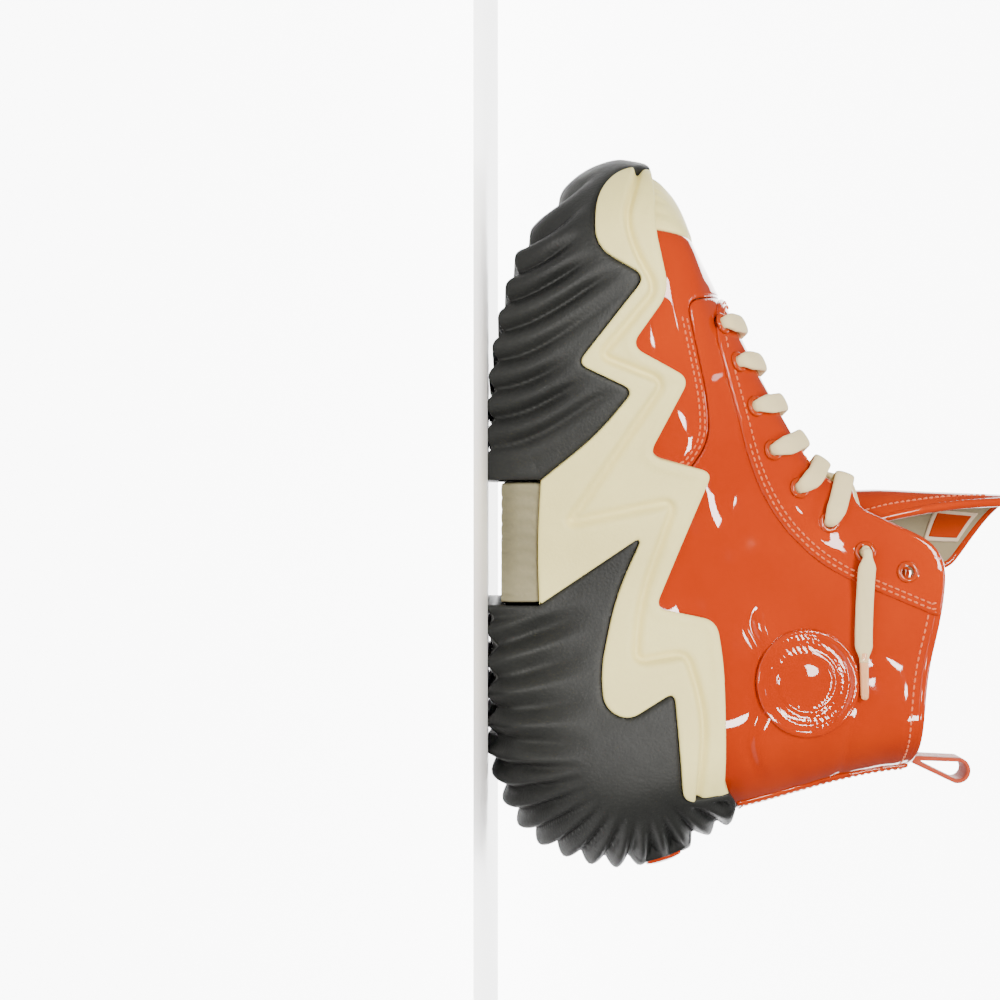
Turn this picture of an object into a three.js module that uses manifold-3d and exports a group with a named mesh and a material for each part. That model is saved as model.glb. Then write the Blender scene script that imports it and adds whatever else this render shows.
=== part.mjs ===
// A high-top basketball shoe for the right foot: a patent upper on a tall wave-cut foam sole with ridged treads.
// Millimetres. +X is towards the toe, +Y towards the inner (medial) side, +Z up. The origin is on the ground,
// under the middle of the heel tread.
import * as THREE from "three";
import { mergeVertices } from "three/addons/utils/BufferGeometryUtils.js";
import Module from "manifold-3d";

const wasm = await Module();
wasm.setup();

// ---------------------------------------------------------------- driving dimensions
const GAP = 0.3; // air left between pieces that touch
const TOE_SWING = 4; // how far the toe end turns in towards the other foot

// Layers of the upper, as heights above and below the foot-shaped skin.
const UPPER_WALL = 3.2;
const UPPER_OUT = 1.5;
const OVERLAY = 1.2; // eyestays, heel strip and badge
const STIFFENER = 1.4; // heel counter, toe puff and collar pad
const LINING = 1.1;

const OUTSOLE_WALL = 5;
const FOREFOOT_PITCH = 11.6;
const FOREFOOT_GROOVES = 9;
const FOREFOOT_FIRST = 100; // x of the rearmost groove in the forefoot tread
const HEEL_PITCH = 12.8;
const HEEL_GROOVES = 5;
const HEEL_FIRST = -19;
const GROOVE_DEPTH = 3.2;
const GROOVE_WIDTH = 5;
const SHANK_WALL = 9;
const SHANK_LIFT = 5.5; // how far the arch piece stays off the ground
const RIB_PITCH = 5.6;
const RIB_DEPTH = 1.2;
const BOARD = 1.8; // lasting board
const INSOLE = 4.6;
const INSOLE_ROOM = 2.2; // between the insole's edge and the lining
const HEEL_PLATE = { half: 13, low: 67, high: 81, thick: 3.4 };

const BADGE_R = 21.5;
const BADGE_RIM = 2.4;
const BADGE_FACE = 0.7; // how far the badge face lies below its rim
const BADGE_AT = [11.7, 130];
const EYELET_HOLE = 2.5;
const EYELET_BARREL = 3.1;
const EYELET_FLANGE = 4.4;
const EYELET_THICK = 0.8;
const EYELET_ROLL = 0.5; // the barrel's rolled end, inside the wall
const EYELET_SEAT = 0.5; // room under the flange, which is flat on a curved wall
const LACED = 7; // eyelet pairs that the lace runs through; the top pair stays empty
const LACE_R = 1.9;
const LACE_BEND = 2.8;
const SLIGHT_TURN = 0.6; // radians; a lace corner under this needs no rounding
const LACE_CLEAR = 1; // room between the tongue and the lace on it
const LACE_LIFT = 1.1; // room between an eyelet's face and a lace that bends over it
const LACE_SAG = 1.4; // room between the wall and a lace that runs under it
const TONGUE = 3.2;
const THROAT_LOW_HALF = 17;
const THROAT_HIGH_HALF = 24;
const THROAT_END = [169, 95];
const THROAT_LENGTH = 150;
const HEEL_STRIP_HALF = 12;
const HEEL_STRIP_LOW = 104;
const LOOP_WIDTH = 14;
const LOOP_STRAP = 1.8;
const LOOP_LENGTH = 24;
const LOOP_BELLY = 11; // across the open middle of the pull loop
const LOOP_LEAN = 14; // degrees that the loop leans back
const FOLD_AT = [90, 158]; // where the tongue's free end starts, x and z
const FOLD_ROOM = 0.8; // air between the sewn-in tongue and its free end
const FOLD_BACK = 16; // degrees of room behind the fold
const AGLET_LENGTH = 15;
const AGLET_R = 1.7;
const LABEL = 0.6;
const LINING_BACK = 1.5; // the lining ends this far behind the eyestay's seam

// Loops of the foot-shaped skin, from the lasting edge up to the collar. back and front are a loop's ends on the
// centre plane, x and z. half is its half width at the four STATIONS. late says how late along the loop it climbs.
const STATIONS = [0.12, 0.4, 0.7, 0.91];
const UPPER_LEVELS = [
  { back: [-45, 57], front: [218, 47], half: [37, 34, 46, 40], late: 1.3 },
  { back: [-47, 72], front: [222, 63], half: [38, 35, 47, 41.5], late: 1.5 },
  { back: [-45, 92], front: [213, 76], half: [37, 34.5, 44, 37], late: 1.6 },
  { back: [-41, 111], front: [192, 85], half: [35, 33, 38, 30], late: 1.6 },
  { back: [-36, 129], front: [169, 97], half: [33, 31.5, 34, 24], late: 1.5 },
  { back: [-31, 146], front: [135, 114], half: [32.5, 31, 32, 23], late: 1.4 },
  { back: [-27, 163], front: [106, 133], half: [33, 32, 31, 24], late: 1.2 },
  { back: [-25, 178], front: [96, 160], half: [34, 33.5, 32, 25], late: 1.1 },
  { back: [-24, 193], front: [92, 198], half: [35, 34.5, 33, 26], late: 1 },
];

// Loops of the outside of the sole, from the edge of the tread up to the rim.
const SOLE_LEVELS = [
  { back: [-24, -0.6], front: [206, 26], half: [40, 37, 49, 44], late: 8 },
  { back: [-48, 10], front: [218, 33], half: [46, 41, 53, 48], late: 5 },
  { back: [-62.5, 26], front: [225.5, 42], half: [48, 42, 54, 49], late: 3 },
  { back: [-70, 52], front: [229.5, 53], half: [48, 42, 54, 49], late: 2 },
  { back: [-66, 76], front: [229, 61], half: [46, 41, 52.5, 48], late: 1.6 },
  { back: [-56, 94], front: [227.5, 67], half: [44, 39.5, 50.5, 46], late: 1.5 },
  { back: [-50, 106], front: [225, 73], half: [42, 38, 48.5, 43.5], late: 1.5 },
];

// Edges as seen from the side: corners as x, z and the radius that rounds them.
const TREAD_EDGE_FRONT = [
  [250, 90, 0], [225, 90, 0], [223.5, 66, 8], [219, 52, 12], [207, 43.5, 10], [186, 42, 9], [174.5, 62.5, 5.5],
  [140, 35.5, 4.5], [129.5, 58, 4.5], [112, 43.5, 30], [94, 21.3, 0], [94, -20, 0], [250, -20, 0],
];
const TREAD_EDGE_REAR = [
  [43.5, -20, 0], [43.5, 20.6, 0], [72, 62.5, 5], [47, 51.5, 40], [18, 45.5, 30], [3, 46.5, 9], [-2.5, 56, 7],
  [9, 75, 4.5], [-35, 78.5, 5], [-35.5, 88, 5], [-31, 120, 0], [-90, 120, 0], [-90, -20, 0],
];
const SHANK_EDGE = [[45, -20, 0], [45, 21, 0], [69, 20, 20], [92.5, 22, 0], [92.5, -20, 0]];
const RIM_EDGE = [
  [250, 68.5, 0], [194, 67, 6], [168.5, 72.5, 7], [147, 57, 5.5], [134.5, 81, 5.5], [103.5, 64.5, 5.5],
  [97, 91, 4.5], [42.5, 68, 4.5], [37.5, 93, 6], [20, 95.6, 10], [-32, 96.5, 4], [-38, 103, 4], [-90, 104, 0],
  [-90, 150, 0], [250, 150, 0],
];
const TOE_CAP_EDGE = [[196, 20, 0], [194.5, 68, 12], [186, 120, 0], [260, 120, 0], [260, 20, 0]];
const VAMP_EDGE = [
  [178, 130, 0], [166, 79, 6], [126, 88, 24], [110, 89, 14], [98, 81, 4], [92, 20, 0], [260, 20, 0], [260, 130, 0],
];
const EYESTAY_EDGE = [
  [176, 130, 0], [170, 92, 0], [152, 91, 8], [121, 100, 20], [99, 106, 20], [78, 117, 20], [58, 137, 16],
  [39, 182, 0], [39, 230, 0], [176, 230, 0],
];
const COLLAR_EDGE = [
  [130, 152, 0], [83, 150, 6], [66, 187, 13], [42, 185, 20], [5, 176, 30], [-60, 177, 0], [-60, 240, 0], [130, 240, 0],
];
const COUNTER_EDGE = [[-60, 62, 0], [40, 62, 0], [22, 84, 10], [-2, 112, 12], [-60, 118, 0]];
const COLLAR_PAD_EDGE = [[-60, 121, 0], [-4, 118, 16], [30, 122, 20], [50, 134, 10], [30, 172, 8], [-60, 168, 0]];

// Eyelet places on the side of the shoe, x and z, from the toe end up.
const EYELETS = [
  [157, 93], [141.5, 100], [123.5, 107.5], [106, 115], [90.5, 126], [76.5, 139], [64.5, 154], [56.5, 171],
];

// The tongue: its centre line, x and z, and at the same heights the half width and depth of its curved section, how
// many degrees that section turns to each side, and how far its lateral edge drops towards the slanted tip.
const TONGUE_ROWS = [
  { at: [158, 84], half: 18, depth: 10, medial: 50, lateral: 50 },
  { at: [142, 95], half: 19, depth: 12, medial: 58, lateral: 58 },
  { at: [124, 105], half: 20, depth: 15, medial: 64, lateral: 64 },
  { at: [108, 115], half: 20, depth: 19, medial: 66, lateral: 66 },
  { at: [95, 129], half: 20, depth: 25, medial: 66, lateral: 70 },
  { at: [89.5, 147], half: 20.5, depth: 30, medial: 60, lateral: 78 },
  { at: [89, 170], half: 22, depth: 33, medial: 44, lateral: 84 },
  { at: [88, 195], half: 24, depth: 34, medial: 28, lateral: 86, drop: 7 },
  { at: [87, 222], half: 24, depth: 33, medial: 16, lateral: 84, drop: 20 },
];

// Free ends of the lace. They rise from the mouths of the last laced eyelets and lie on the quarters.
const LACE_END_MEDIAL = [
  [65, 37.2, 153.9], [64.7, 38.4, 153.9], [62.8, 39.2, 153.9], [60, 39.2, 153.8], [57, 38.9, 153.6], [53.5, 38.4, 153.4],
  [50, 37.8, 153.3], [46.5, 37.2, 153.2], [43, 36.9, 153.1], [39.5, 36.7, 153], [36, 36.6, 152.9],
  [32, 36.6, 152.8], [28, 36.7, 152.8], [24, 37, 152.8], [20, 37.4, 152.8],
];
const LACE_END_LATERAL = [
  [65, -37.1, 153.9], [65, -38.2, 153.7], [64.6, -39.2, 152], [64.3, -39.4, 149], [64, -39.4, 145.5],
  [63.8, -39.5, 142], [63.8, -39.6, 138.5], [63.9, -39.6, 135], [64.1, -39.5, 131.5], [64.4, -39.3, 128],
  [64.9, -38.9, 124.5], [65.5, -38.5, 121], [66.2, -38.3, 117.5], [66.9, -38.2, 114], [67.5, -38.4, 110.5],
];

// ---------------------------------------------------------------- finishes
const finish = (color, roughness) => () => new THREE.MeshStandardMaterial({ color, roughness, metalness: 0 });
const patent = finish(0xeb5a10, 0.12);
const creamRubber = finish(0xe1d9b9, 0.55);
const blackRubber = finish(0x373834, 0.6);
const greyRubber = finish(0x96917a, 0.6);
const cotton = finish(0xebdcbe, 0.85);
const canvas = finish(0xb4a887, 0.9);
const fibreboard = finish(0xb79f78, 0.9);
const plastic = finish(0xe9dfc8, 0.4);

// ---------------------------------------------------------------- solids
function toSolid(geometry) {
  const plain = geometry.clone();
  plain.deleteAttribute("normal");
  plain.deleteAttribute("uv");
  const merged = mergeVertices(plain, 1e-4);
  const index = merged.index.array;
  const mesh = new wasm.Mesh({
    numProp: 3,
    vertProperties: new Float32Array(merged.attributes.position.array),
    triVerts: new Uint32Array(index),
  });
  return new wasm.Manifold(mesh);
}

function toGeometry(solid) {
  const mesh = solid.getMesh();
  const geometry = new THREE.BufferGeometry();
  geometry.setAttribute("position", new THREE.BufferAttribute(mesh.vertProperties, mesh.numProp));
  geometry.setIndex(new THREE.BufferAttribute(mesh.triVerts, 1));
  geometry.computeVertexNormals();
  return geometry;
}

// Corners x, z, radius to the points of a closed outline, with each corner rounded.
function rounded(corners) {
  const path = new THREE.Path();
  corners.forEach(([x, z, radius], i) => {
    const corner = new THREE.Vector2(x, z);
    const before = new THREE.Vector2(...corners.at(i - 1));
    const after = new THREE.Vector2(...corners[(i + 1) % corners.length]);
    const reach = Math.min(radius, corner.distanceTo(before) / 2, corner.distanceTo(after) / 2);
    const start = corner.clone().lerp(before, reach / corner.distanceTo(before));
    const end = corner.clone().lerp(after, reach / corner.distanceTo(after));
    if (i === 0) {
      path.moveTo(start.x, start.y);
    } else {
      path.lineTo(start.x, start.y);
    }
    if (radius > 0) {
      path.quadraticCurveTo(x, z, end.x, end.y);
    }
  });
  return path.getPoints(2);
}

// A closed outline moved outwards by a distance, whichever way round it runs.
function grown(points, distance) {
  const out = THREE.ShapeUtils.isClockWise(points) ? -1 : 1;
  return points.map((point, i) => {
    const before = points.at(i - 1);
    const after = points[(i + 1) % points.length];
    const one = point.clone().sub(before).normalize();
    const two = after.clone().sub(point).normalize();
    const bisector = one.clone().add(two).normalize();
    const along = out * distance / Math.max(0.35, bisector.dot(two));
    return new THREE.Vector2(point.x + bisector.y * along, point.y - bisector.x * along);
  });
}

// A prism of a side-view outline, from y = low to y = high.
function prism(points, low = -100, high = 100) {
  const shape = new THREE.Shape(points);
  const geometry = new THREE.ExtrudeGeometry(shape, { depth: high - low, bevelEnabled: false });
  geometry.rotateX(Math.PI / 2);
  geometry.translate(0, high, 0);
  return toSolid(geometry);
}

const region = (corners, grow = 0) => prism(grow ? grown(rounded(corners), grow) : rounded(corners));

function box(x0, x1, y0, y1, z0, z1) {
  const geometry = new THREE.BoxGeometry(x1 - x0, y1 - y0, z1 - z0);
  geometry.translate((x0 + x1) / 2, (y0 + y1) / 2, (z0 + z1) / 2);
  return toSolid(geometry);
}

// A round piece from a profile of radius and height, stood on a place along a direction.
function turned(profile, place, direction, sides = 20) {
  const geometry = new THREE.LatheGeometry(profile.map(([r, h]) => new THREE.Vector2(r, h)), sides);
  const turn = new THREE.Quaternion().setFromUnitVectors(new THREE.Vector3(0, 1, 0), direction);
  geometry.applyQuaternion(turn);
  geometry.translate(place.x, place.y, place.z);
  return toSolid(geometry);
}

// The closed solid through rows of loops, heel first, then the medial side, toe and lateral side.
function loft(rows) {
  const around = rows[0].length;
  const positions = rows.flat().flatMap((p) => [p.x, p.y, p.z]);
  const index = [];
  for (let j = 0; j < rows.length - 1; j += 1) {
    for (let i = 0; i < around; i += 1) {
      const here = j * around + i;
      const next = j * around + ((i + 1) % around);
      index.push(here, here + around, next, next, here + around, next + around);
    }
  }
  const cap = (first, flip) => {
    const face = (a, b, c) => index.push(first + a, first + (flip ? c : b), first + (flip ? b : c));
    face(0, 1, around - 1);
    for (let i = 1; i < around / 2 - 1; i += 1) {
      face(i, i + 1, around - i - 1);
      face(i, around - i - 1, around - i);
    }
    face(around / 2 - 1, around / 2, around / 2 + 1);
  };
  cap(0, false);
  cap((rows.length - 1) * around, true);
  const geometry = new THREE.BufferGeometry();
  geometry.setAttribute("position", new THREE.Float32BufferAttribute(positions, 3));
  geometry.setIndex(index);
  return toSolid(geometry);
}

// A sheet of rows of points, thickened half to each side of itself.
function thickened(rows, thickness) {
  const normals = rowNormals(rows, false);
  const face = (side) => rows.map((row, j) => row.map((p, i) => p.clone().addScaledVector(normals[j][i], side)));
  const front = face(thickness / 2);
  const back = face(-thickness / 2);
  const loops = rows.map((_, j) => [...front[j], ...back[j].reverse()]);
  return ribbonLoft(loops);
}

// The closed solid through rows of flat loops, with each end closed by a fan of its two edges.
function ribbonLoft(loops) {
  const around = loops[0].length;
  const half = around / 2;
  const index = [];
  for (let j = 0; j < loops.length - 1; j += 1) {
    for (let i = 0; i < around; i += 1) {
      const here = j * around + i;
      const next = j * around + ((i + 1) % around);
      index.push(here, next, here + around, next, next + around, here + around);
    }
  }
  const cap = (first, flip) => {
    for (let i = 0; i < half - 1; i += 1) {
      const quad = [first + i, first + i + 1, first + around - 2 - i, first + around - 1 - i];
      const [a, b, c, d] = flip ? quad : [...quad].reverse();
      index.push(a, b, c, a, c, d);
    }
  };
  cap(0, false);
  cap((loops.length - 1) * around, true);
  const geometry = new THREE.BufferGeometry();
  const positions = loops.flat().flatMap((p) => [p.x, p.y, p.z]);
  geometry.setAttribute("position", new THREE.Float32BufferAttribute(positions, 3));
  geometry.setIndex(index);
  const solid = toSolid(geometry);
  return solid.volume() > 0 ? solid : toSolid(flipped(geometry));
}

function flipped(geometry) {
  const index = geometry.index.array;
  for (let i = 0; i < index.length; i += 3) {
    [index[i + 1], index[i + 2]] = [index[i + 2], index[i + 1]];
  }
  return geometry;
}

// Directions square to a grid of points; closed says that each row runs round to its start.
function rowNormals(rows, closed) {
  return rows.map((row, j) => row.map((_, i) => {
    const count = row.length;
    const left = closed ? row.at(i - 1) : row[Math.max(0, i - 1)];
    const right = closed ? row[(i + 1) % count] : row[Math.min(count - 1, i + 1)];
    const below = rows[Math.max(0, j - 1)][i];
    const above = rows[Math.min(rows.length - 1, j + 1)][i];
    const across = right.clone().sub(left);
    return above.clone().sub(below).cross(across).normalize();
  }));
}

// ---------------------------------------------------------------- the two skins: foot and sole
const swing = (x) => TOE_SWING * THREE.MathUtils.smoothstep(x, 60, 230);

// A smooth closed loop of one level: heel, four medial stations, toe, four lateral stations.
function levelLoop({ back, front, half, late }) {
  const at = (s, y) => {
    const x = THREE.MathUtils.lerp(back[0], front[0], s);
    return new THREE.Vector3(x, y + swing(x), THREE.MathUtils.lerp(back[1], front[1], s ** late));
  };
  const medial = STATIONS.map((s, i) => at(s, half[i]));
  const lateral = STATIONS.map((s, i) => at(s, -half[i])).reverse();
  return new THREE.CatmullRomCurve3([at(0, 0), ...medial, at(1, 0), ...lateral], true, "catmullrom", 0.5);
}

// The point of a skin at u round the loops and t up them, both from 0 to 1.
function skin(levels) {
  const loops = levels.map(levelLoop);
  const columns = new Map();
  const column = (u) => {
    if (!columns.has(u)) {
      const points = loops.map((loop) => loop.getPoint(u));
      columns.set(u, new THREE.CatmullRomCurve3(points, false, "catmullrom", 0.5));
    }
    return columns.get(u);
  };
  return (u, t) => column(u).getPoint(t);
}

const upperSkin = skin(UPPER_LEVELS);
const soleSkin = skin(SOLE_LEVELS);

function grid(surface, around, up) {
  const rows = [];
  for (let j = 0; j <= up; j += 1) {
    rows.push(Array.from({ length: around }, (_, i) => surface(i / around, j / up)));
  }
  return rows;
}

// The solid inside a grid moved out along its normals, with its ends drawn out straight up and down.
function inside(rows, normals, out, drop = 0, raise = 0) {
  const moved = rows.map((row, j) => row.map((p, i) => p.clone().addScaledVector(normals[j][i], out)));
  const shifted = (row, dz) => row.map((p) => new THREE.Vector3(p.x, p.y, p.z + dz));
  if (drop > 0) {
    moved.unshift(shifted(moved[0], -drop));
  }
  if (raise > 0) {
    moved.push(shifted(moved.at(-1), raise));
  }
  return loft(moved);
}

const UPPER_ROWS = grid(upperSkin, 34, 12);
const UPPER_NORMALS = rowNormals(UPPER_ROWS, true);
const SOLE_ROWS = grid(soleSkin, 34, 8);
const SOLE_NORMALS = rowNormals(SOLE_ROWS, true);
const FINE_ROWS = grid(upperSkin, 144, 72);
const FINE_NORMALS = rowNormals(FINE_ROWS, true);
const REACH = 30; // length of the cuts that run past an edge

const upperTo = (out, drop = 0, raise = 0) => inside(UPPER_ROWS, UPPER_NORMALS, out, drop, raise);
const layer = (top, thickness) => upperTo(top).subtract(upperTo(top - thickness, REACH, REACH));
const WALL_IN = UPPER_OUT - UPPER_WALL; // inner face of the wall
const STIFFENER_TOP = WALL_IN - GAP;
const LINING_TOP = STIFFENER_TOP - STIFFENER - GAP;
const LINING_IN = LINING_TOP - LINING;
const OVERLAY_TOP = UPPER_OUT + GAP + OVERLAY;

// The place and outward direction on the upper's skin that lies at x, z in side view.
function onUpper(x, z, side) {
  const target = new THREE.Vector2(x, z);
  const seen = (u, t) => {
    const p = upperSkin(u, t);
    return new THREE.Vector2(p.x, p.z);
  };
  const turn = (s) => (side > 0 ? s : 1 - s);
  let best = [0.25, 0.5];
  let least = Infinity;
  for (let s = 0.02; s < 0.49; s += 0.02) {
    for (let t = 0.02; t < 1; t += 0.02) {
      const miss = seen(turn(s), t).distanceTo(target);
      if (miss < least) {
        least = miss;
        best = [s, t];
      }
    }
  }
  const step = 1e-4;
  for (let round = 0; round < 12; round += 1) {
    const [s, t] = best;
    const here = seen(turn(s), t);
    const ds = seen(turn(s + step), t).sub(here).divideScalar(step);
    const dt = seen(turn(s), t + step).sub(here).divideScalar(step);
    const miss = target.clone().sub(here);
    const area = ds.cross(dt);
    best = [s + miss.cross(dt) / area, t + ds.cross(miss) / area];
  }
  const [s, t] = best;
  const place = upperSkin(turn(s), t);
  const ds = upperSkin(turn(s + step), t).sub(place);
  const dt = upperSkin(turn(s), t + step).sub(place);
  const out = ds.cross(dt).normalize();
  if (out.y * side < 0) {
    out.negate();
  }
  return { place, out };
}

// A point moved to a given height above the upper's skin.
function lifted(point, height) {
  let nearest = FINE_ROWS[0][0];
  let normal = FINE_NORMALS[0][0];
  FINE_ROWS.forEach((row, j) => row.forEach((p, i) => {
    if (p.distanceToSquared(point) < nearest.distanceToSquared(point)) {
      nearest = p;
      normal = FINE_NORMALS[j][i];
    }
  }));
  const now = point.clone().sub(nearest).dot(normal);
  return point.clone().addScaledVector(normal, height - now);
}

// ---------------------------------------------------------------- the group and its meshes
const shoe = new THREE.Group();
shoe.name = "high_top";

function add(name, solid, material) {
  const mesh = new THREE.Mesh(toGeometry(solid), material());
  mesh.name = name;
  shoe.add(mesh);
}

// ---------------------------------------------------------------- sole
const ground = box(-120, 280, -90, 90, 0, 150);
const block = inside(SOLE_ROWS, SOLE_NORMALS, 0).intersect(ground);
const core = (wall) => inside(SOLE_ROWS, SOLE_NORMALS, -wall).intersect(block.translate(0, 0, wall));

function treadHeight(x) {
  const level = SOLE_LEVELS[0];
  const s = THREE.MathUtils.clamp((x - level.back[0]) / (level.front[0] - level.back[0]), 0, 1);
  return THREE.MathUtils.lerp(level.back[1], level.front[1], s ** level.late);
}

function grooves(first, pitch, count) {
  let cut = box(0, 1, 0, 1, -90, -89);
  for (let i = 0; i < count; i += 1) {
    const x = first + i * pitch;
    const top = treadHeight(x) + GROOVE_DEPTH;
    const half = GROOVE_WIDTH / 2;
    const corners = [[x - half, -9], [x + half, -9], [x + half, top - 1.5], [x, top], [x - half, top - 1.5]];
    cut = cut.add(prism(corners.map(([a, b]) => new THREE.Vector2(a, b))));
  }
  return cut;
}

function heelPlate(room) {
  const { half, low, high, thick } = HEEL_PLATE;
  const slab = box(-100, -40, -half - room, half + room, low - room, high + room);
  return slab.intersect(inside(SOLE_ROWS, SOLE_NORMALS, 0.9 + room)).subtract(core(thick - 0.9 + room));
}

function addSole() {
  const cavity = upperTo(UPPER_OUT + GAP, GAP, REACH);
  const forefoot = block
    .intersect(region(TREAD_EDGE_FRONT))
    .subtract(core(OUTSOLE_WALL))
    .subtract(region(RIM_EDGE))
    .subtract(cavity);
  add("outsole_forefoot", forefoot.subtract(grooves(FOREFOOT_FIRST, FOREFOOT_PITCH, FOREFOOT_GROOVES)), blackRubber);
  const heel = block
    .intersect(region(TREAD_EDGE_REAR))
    .subtract(core(OUTSOLE_WALL))
    .subtract(region(RIM_EDGE))
    .subtract(cavity);
  const heelTread = heel.subtract(grooves(HEEL_FIRST, HEEL_PITCH, HEEL_GROOVES)).subtract(heelPlate(GAP));
  add("outsole_heel", heelTread, blackRubber);
  add("heel_plate", heelPlate(0), patent);

  const shankWidth = [SHANK_EDGE[0][0], SHANK_EDGE[3][0]];
  let underArch = box(0, 300, -90, 90, -9, SHANK_LIFT).intersect(box(...shankWidth, -90, 90, -9, 30));
  for (let x = shankWidth[0] + RIB_PITCH; x < shankWidth[1] - RIB_DEPTH; x += RIB_PITCH) {
    underArch = underArch.add(box(x - RIB_DEPTH, x + RIB_DEPTH, -90, 90, -9, SHANK_LIFT + RIB_DEPTH));
  }
  const archGap = box(TREAD_EDGE_REAR[0][0], TREAD_EDGE_FRONT.at(-2)[0], -90, 90, -9, SHANK_LIFT);
  const shank = block.intersect(region(SHANK_EDGE)).subtract(core(SHANK_WALL)).subtract(underArch);
  add("shank", shank, greyRubber);

  const shell = (edge, wall) => region(edge, GAP).subtract(core(wall + GAP));
  const foam = block
    .subtract(region(RIM_EDGE))
    .subtract(shell(TREAD_EDGE_FRONT, OUTSOLE_WALL))
    .subtract(shell(TREAD_EDGE_REAR, OUTSOLE_WALL))
    .subtract(shell(SHANK_EDGE, SHANK_WALL))
    .subtract(archGap)
    .subtract(cavity);
  add("midsole", foam, creamRubber);
}

// The lasting board and the insole follow the lining's lower edge.
function addFootbed() {
  const level = UPPER_ROWS[0].map((p, i) => p.clone().addScaledVector(UPPER_NORMALS[0][i], LINING_IN - GAP));
  const slab = (inset, low, high) => {
    const middle = new THREE.Vector3(88, 0, 0);
    const row = (dz) => level.map((p) => {
      const towards = new THREE.Vector2(middle.x - p.x, middle.y - p.y).normalize().multiplyScalar(inset);
      return new THREE.Vector3(p.x + towards.x, p.y + towards.y, p.z + dz);
    });
    return loft([row(low), row(high)]);
  };
  add("lasting_board", slab(0, 0, BOARD), fibreboard);
  add("insole", slab(INSOLE_ROOM, BOARD + GAP, BOARD + GAP + INSOLE), canvas);
}

// ---------------------------------------------------------------- upper
// The slot of the lace opening, cut square to the slope of the instep.
function throat(room = 0) {
  const low = THROAT_LOW_HALF + room;
  const high = THROAT_HIGH_HALF + room;
  const shape = new THREE.Shape();
  shape.moveTo(0, -low);
  shape.lineTo(THROAT_LENGTH, -high);
  shape.lineTo(THROAT_LENGTH, high);
  shape.lineTo(0, low);
  shape.absarc(0, 0, low, Math.PI / 2, 1.5 * Math.PI, false);
  const geometry = new THREE.ExtrudeGeometry(shape, { depth: 90, bevelEnabled: false, curveSegments: 8 });
  const up = new THREE.Vector3(-1, 0, 1).normalize();
  const out = new THREE.Vector3(1, 0, 1).normalize();
  const across = new THREE.Vector3().crossVectors(out, up);
  const start = new THREE.Vector3(THROAT_END[0], swing(THROAT_END[0]), THROAT_END[1]);
  start.addScaledVector(up, THROAT_LOW_HALF).addScaledVector(out, -28);
  geometry.applyMatrix4(new THREE.Matrix4().makeBasis(up, across, out).setPosition(start));
  return toSolid(geometry);
}

const eyelets = [];
for (const side of [1, -1]) {
  EYELETS.forEach(([x, z], i) => {
    const name = `eyelet_${side > 0 ? "medial" : "lateral"}_${i + 1}`;
    eyelets.push({ name, side, order: i, ...onUpper(x, z, side) });
  });
}

function eyeletHoles() {
  const radius = (EYELET_BARREL + GAP) / Math.cos(Math.PI / 8);
  const profile = [[0, -REACH / 4], [radius, -REACH / 4], [radius, REACH / 4], [0, REACH / 4]];
  return eyelets
    .map(({ place, out }) => turned(profile, place, out, 8))
    .reduce((all, one) => all.add(one));
}

function addEyelets() {
  const top = OVERLAY_TOP + EYELET_SEAT;
  const end = WALL_IN - EYELET_ROLL;
  const profile = [
    [EYELET_HOLE, end], [EYELET_BARREL, end], [EYELET_BARREL, top], [EYELET_FLANGE, top],
    [EYELET_FLANGE - 0.3, top + EYELET_THICK], [EYELET_HOLE, top + EYELET_THICK], [EYELET_HOLE, end],
  ];
  for (const { name, place, out } of eyelets) {
    add(name, turned(profile, place, out, 10), patent);
  }
}

const half = (side) => (side > 0 ? box(-120, 280, GAP / 2, 90, 0, 260) : box(-120, 280, -90, -GAP / 2, 0, 260));
const collarCut = region(COLLAR_EDGE);
const throatCut = throat();
const holes = eyeletHoles();

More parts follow.
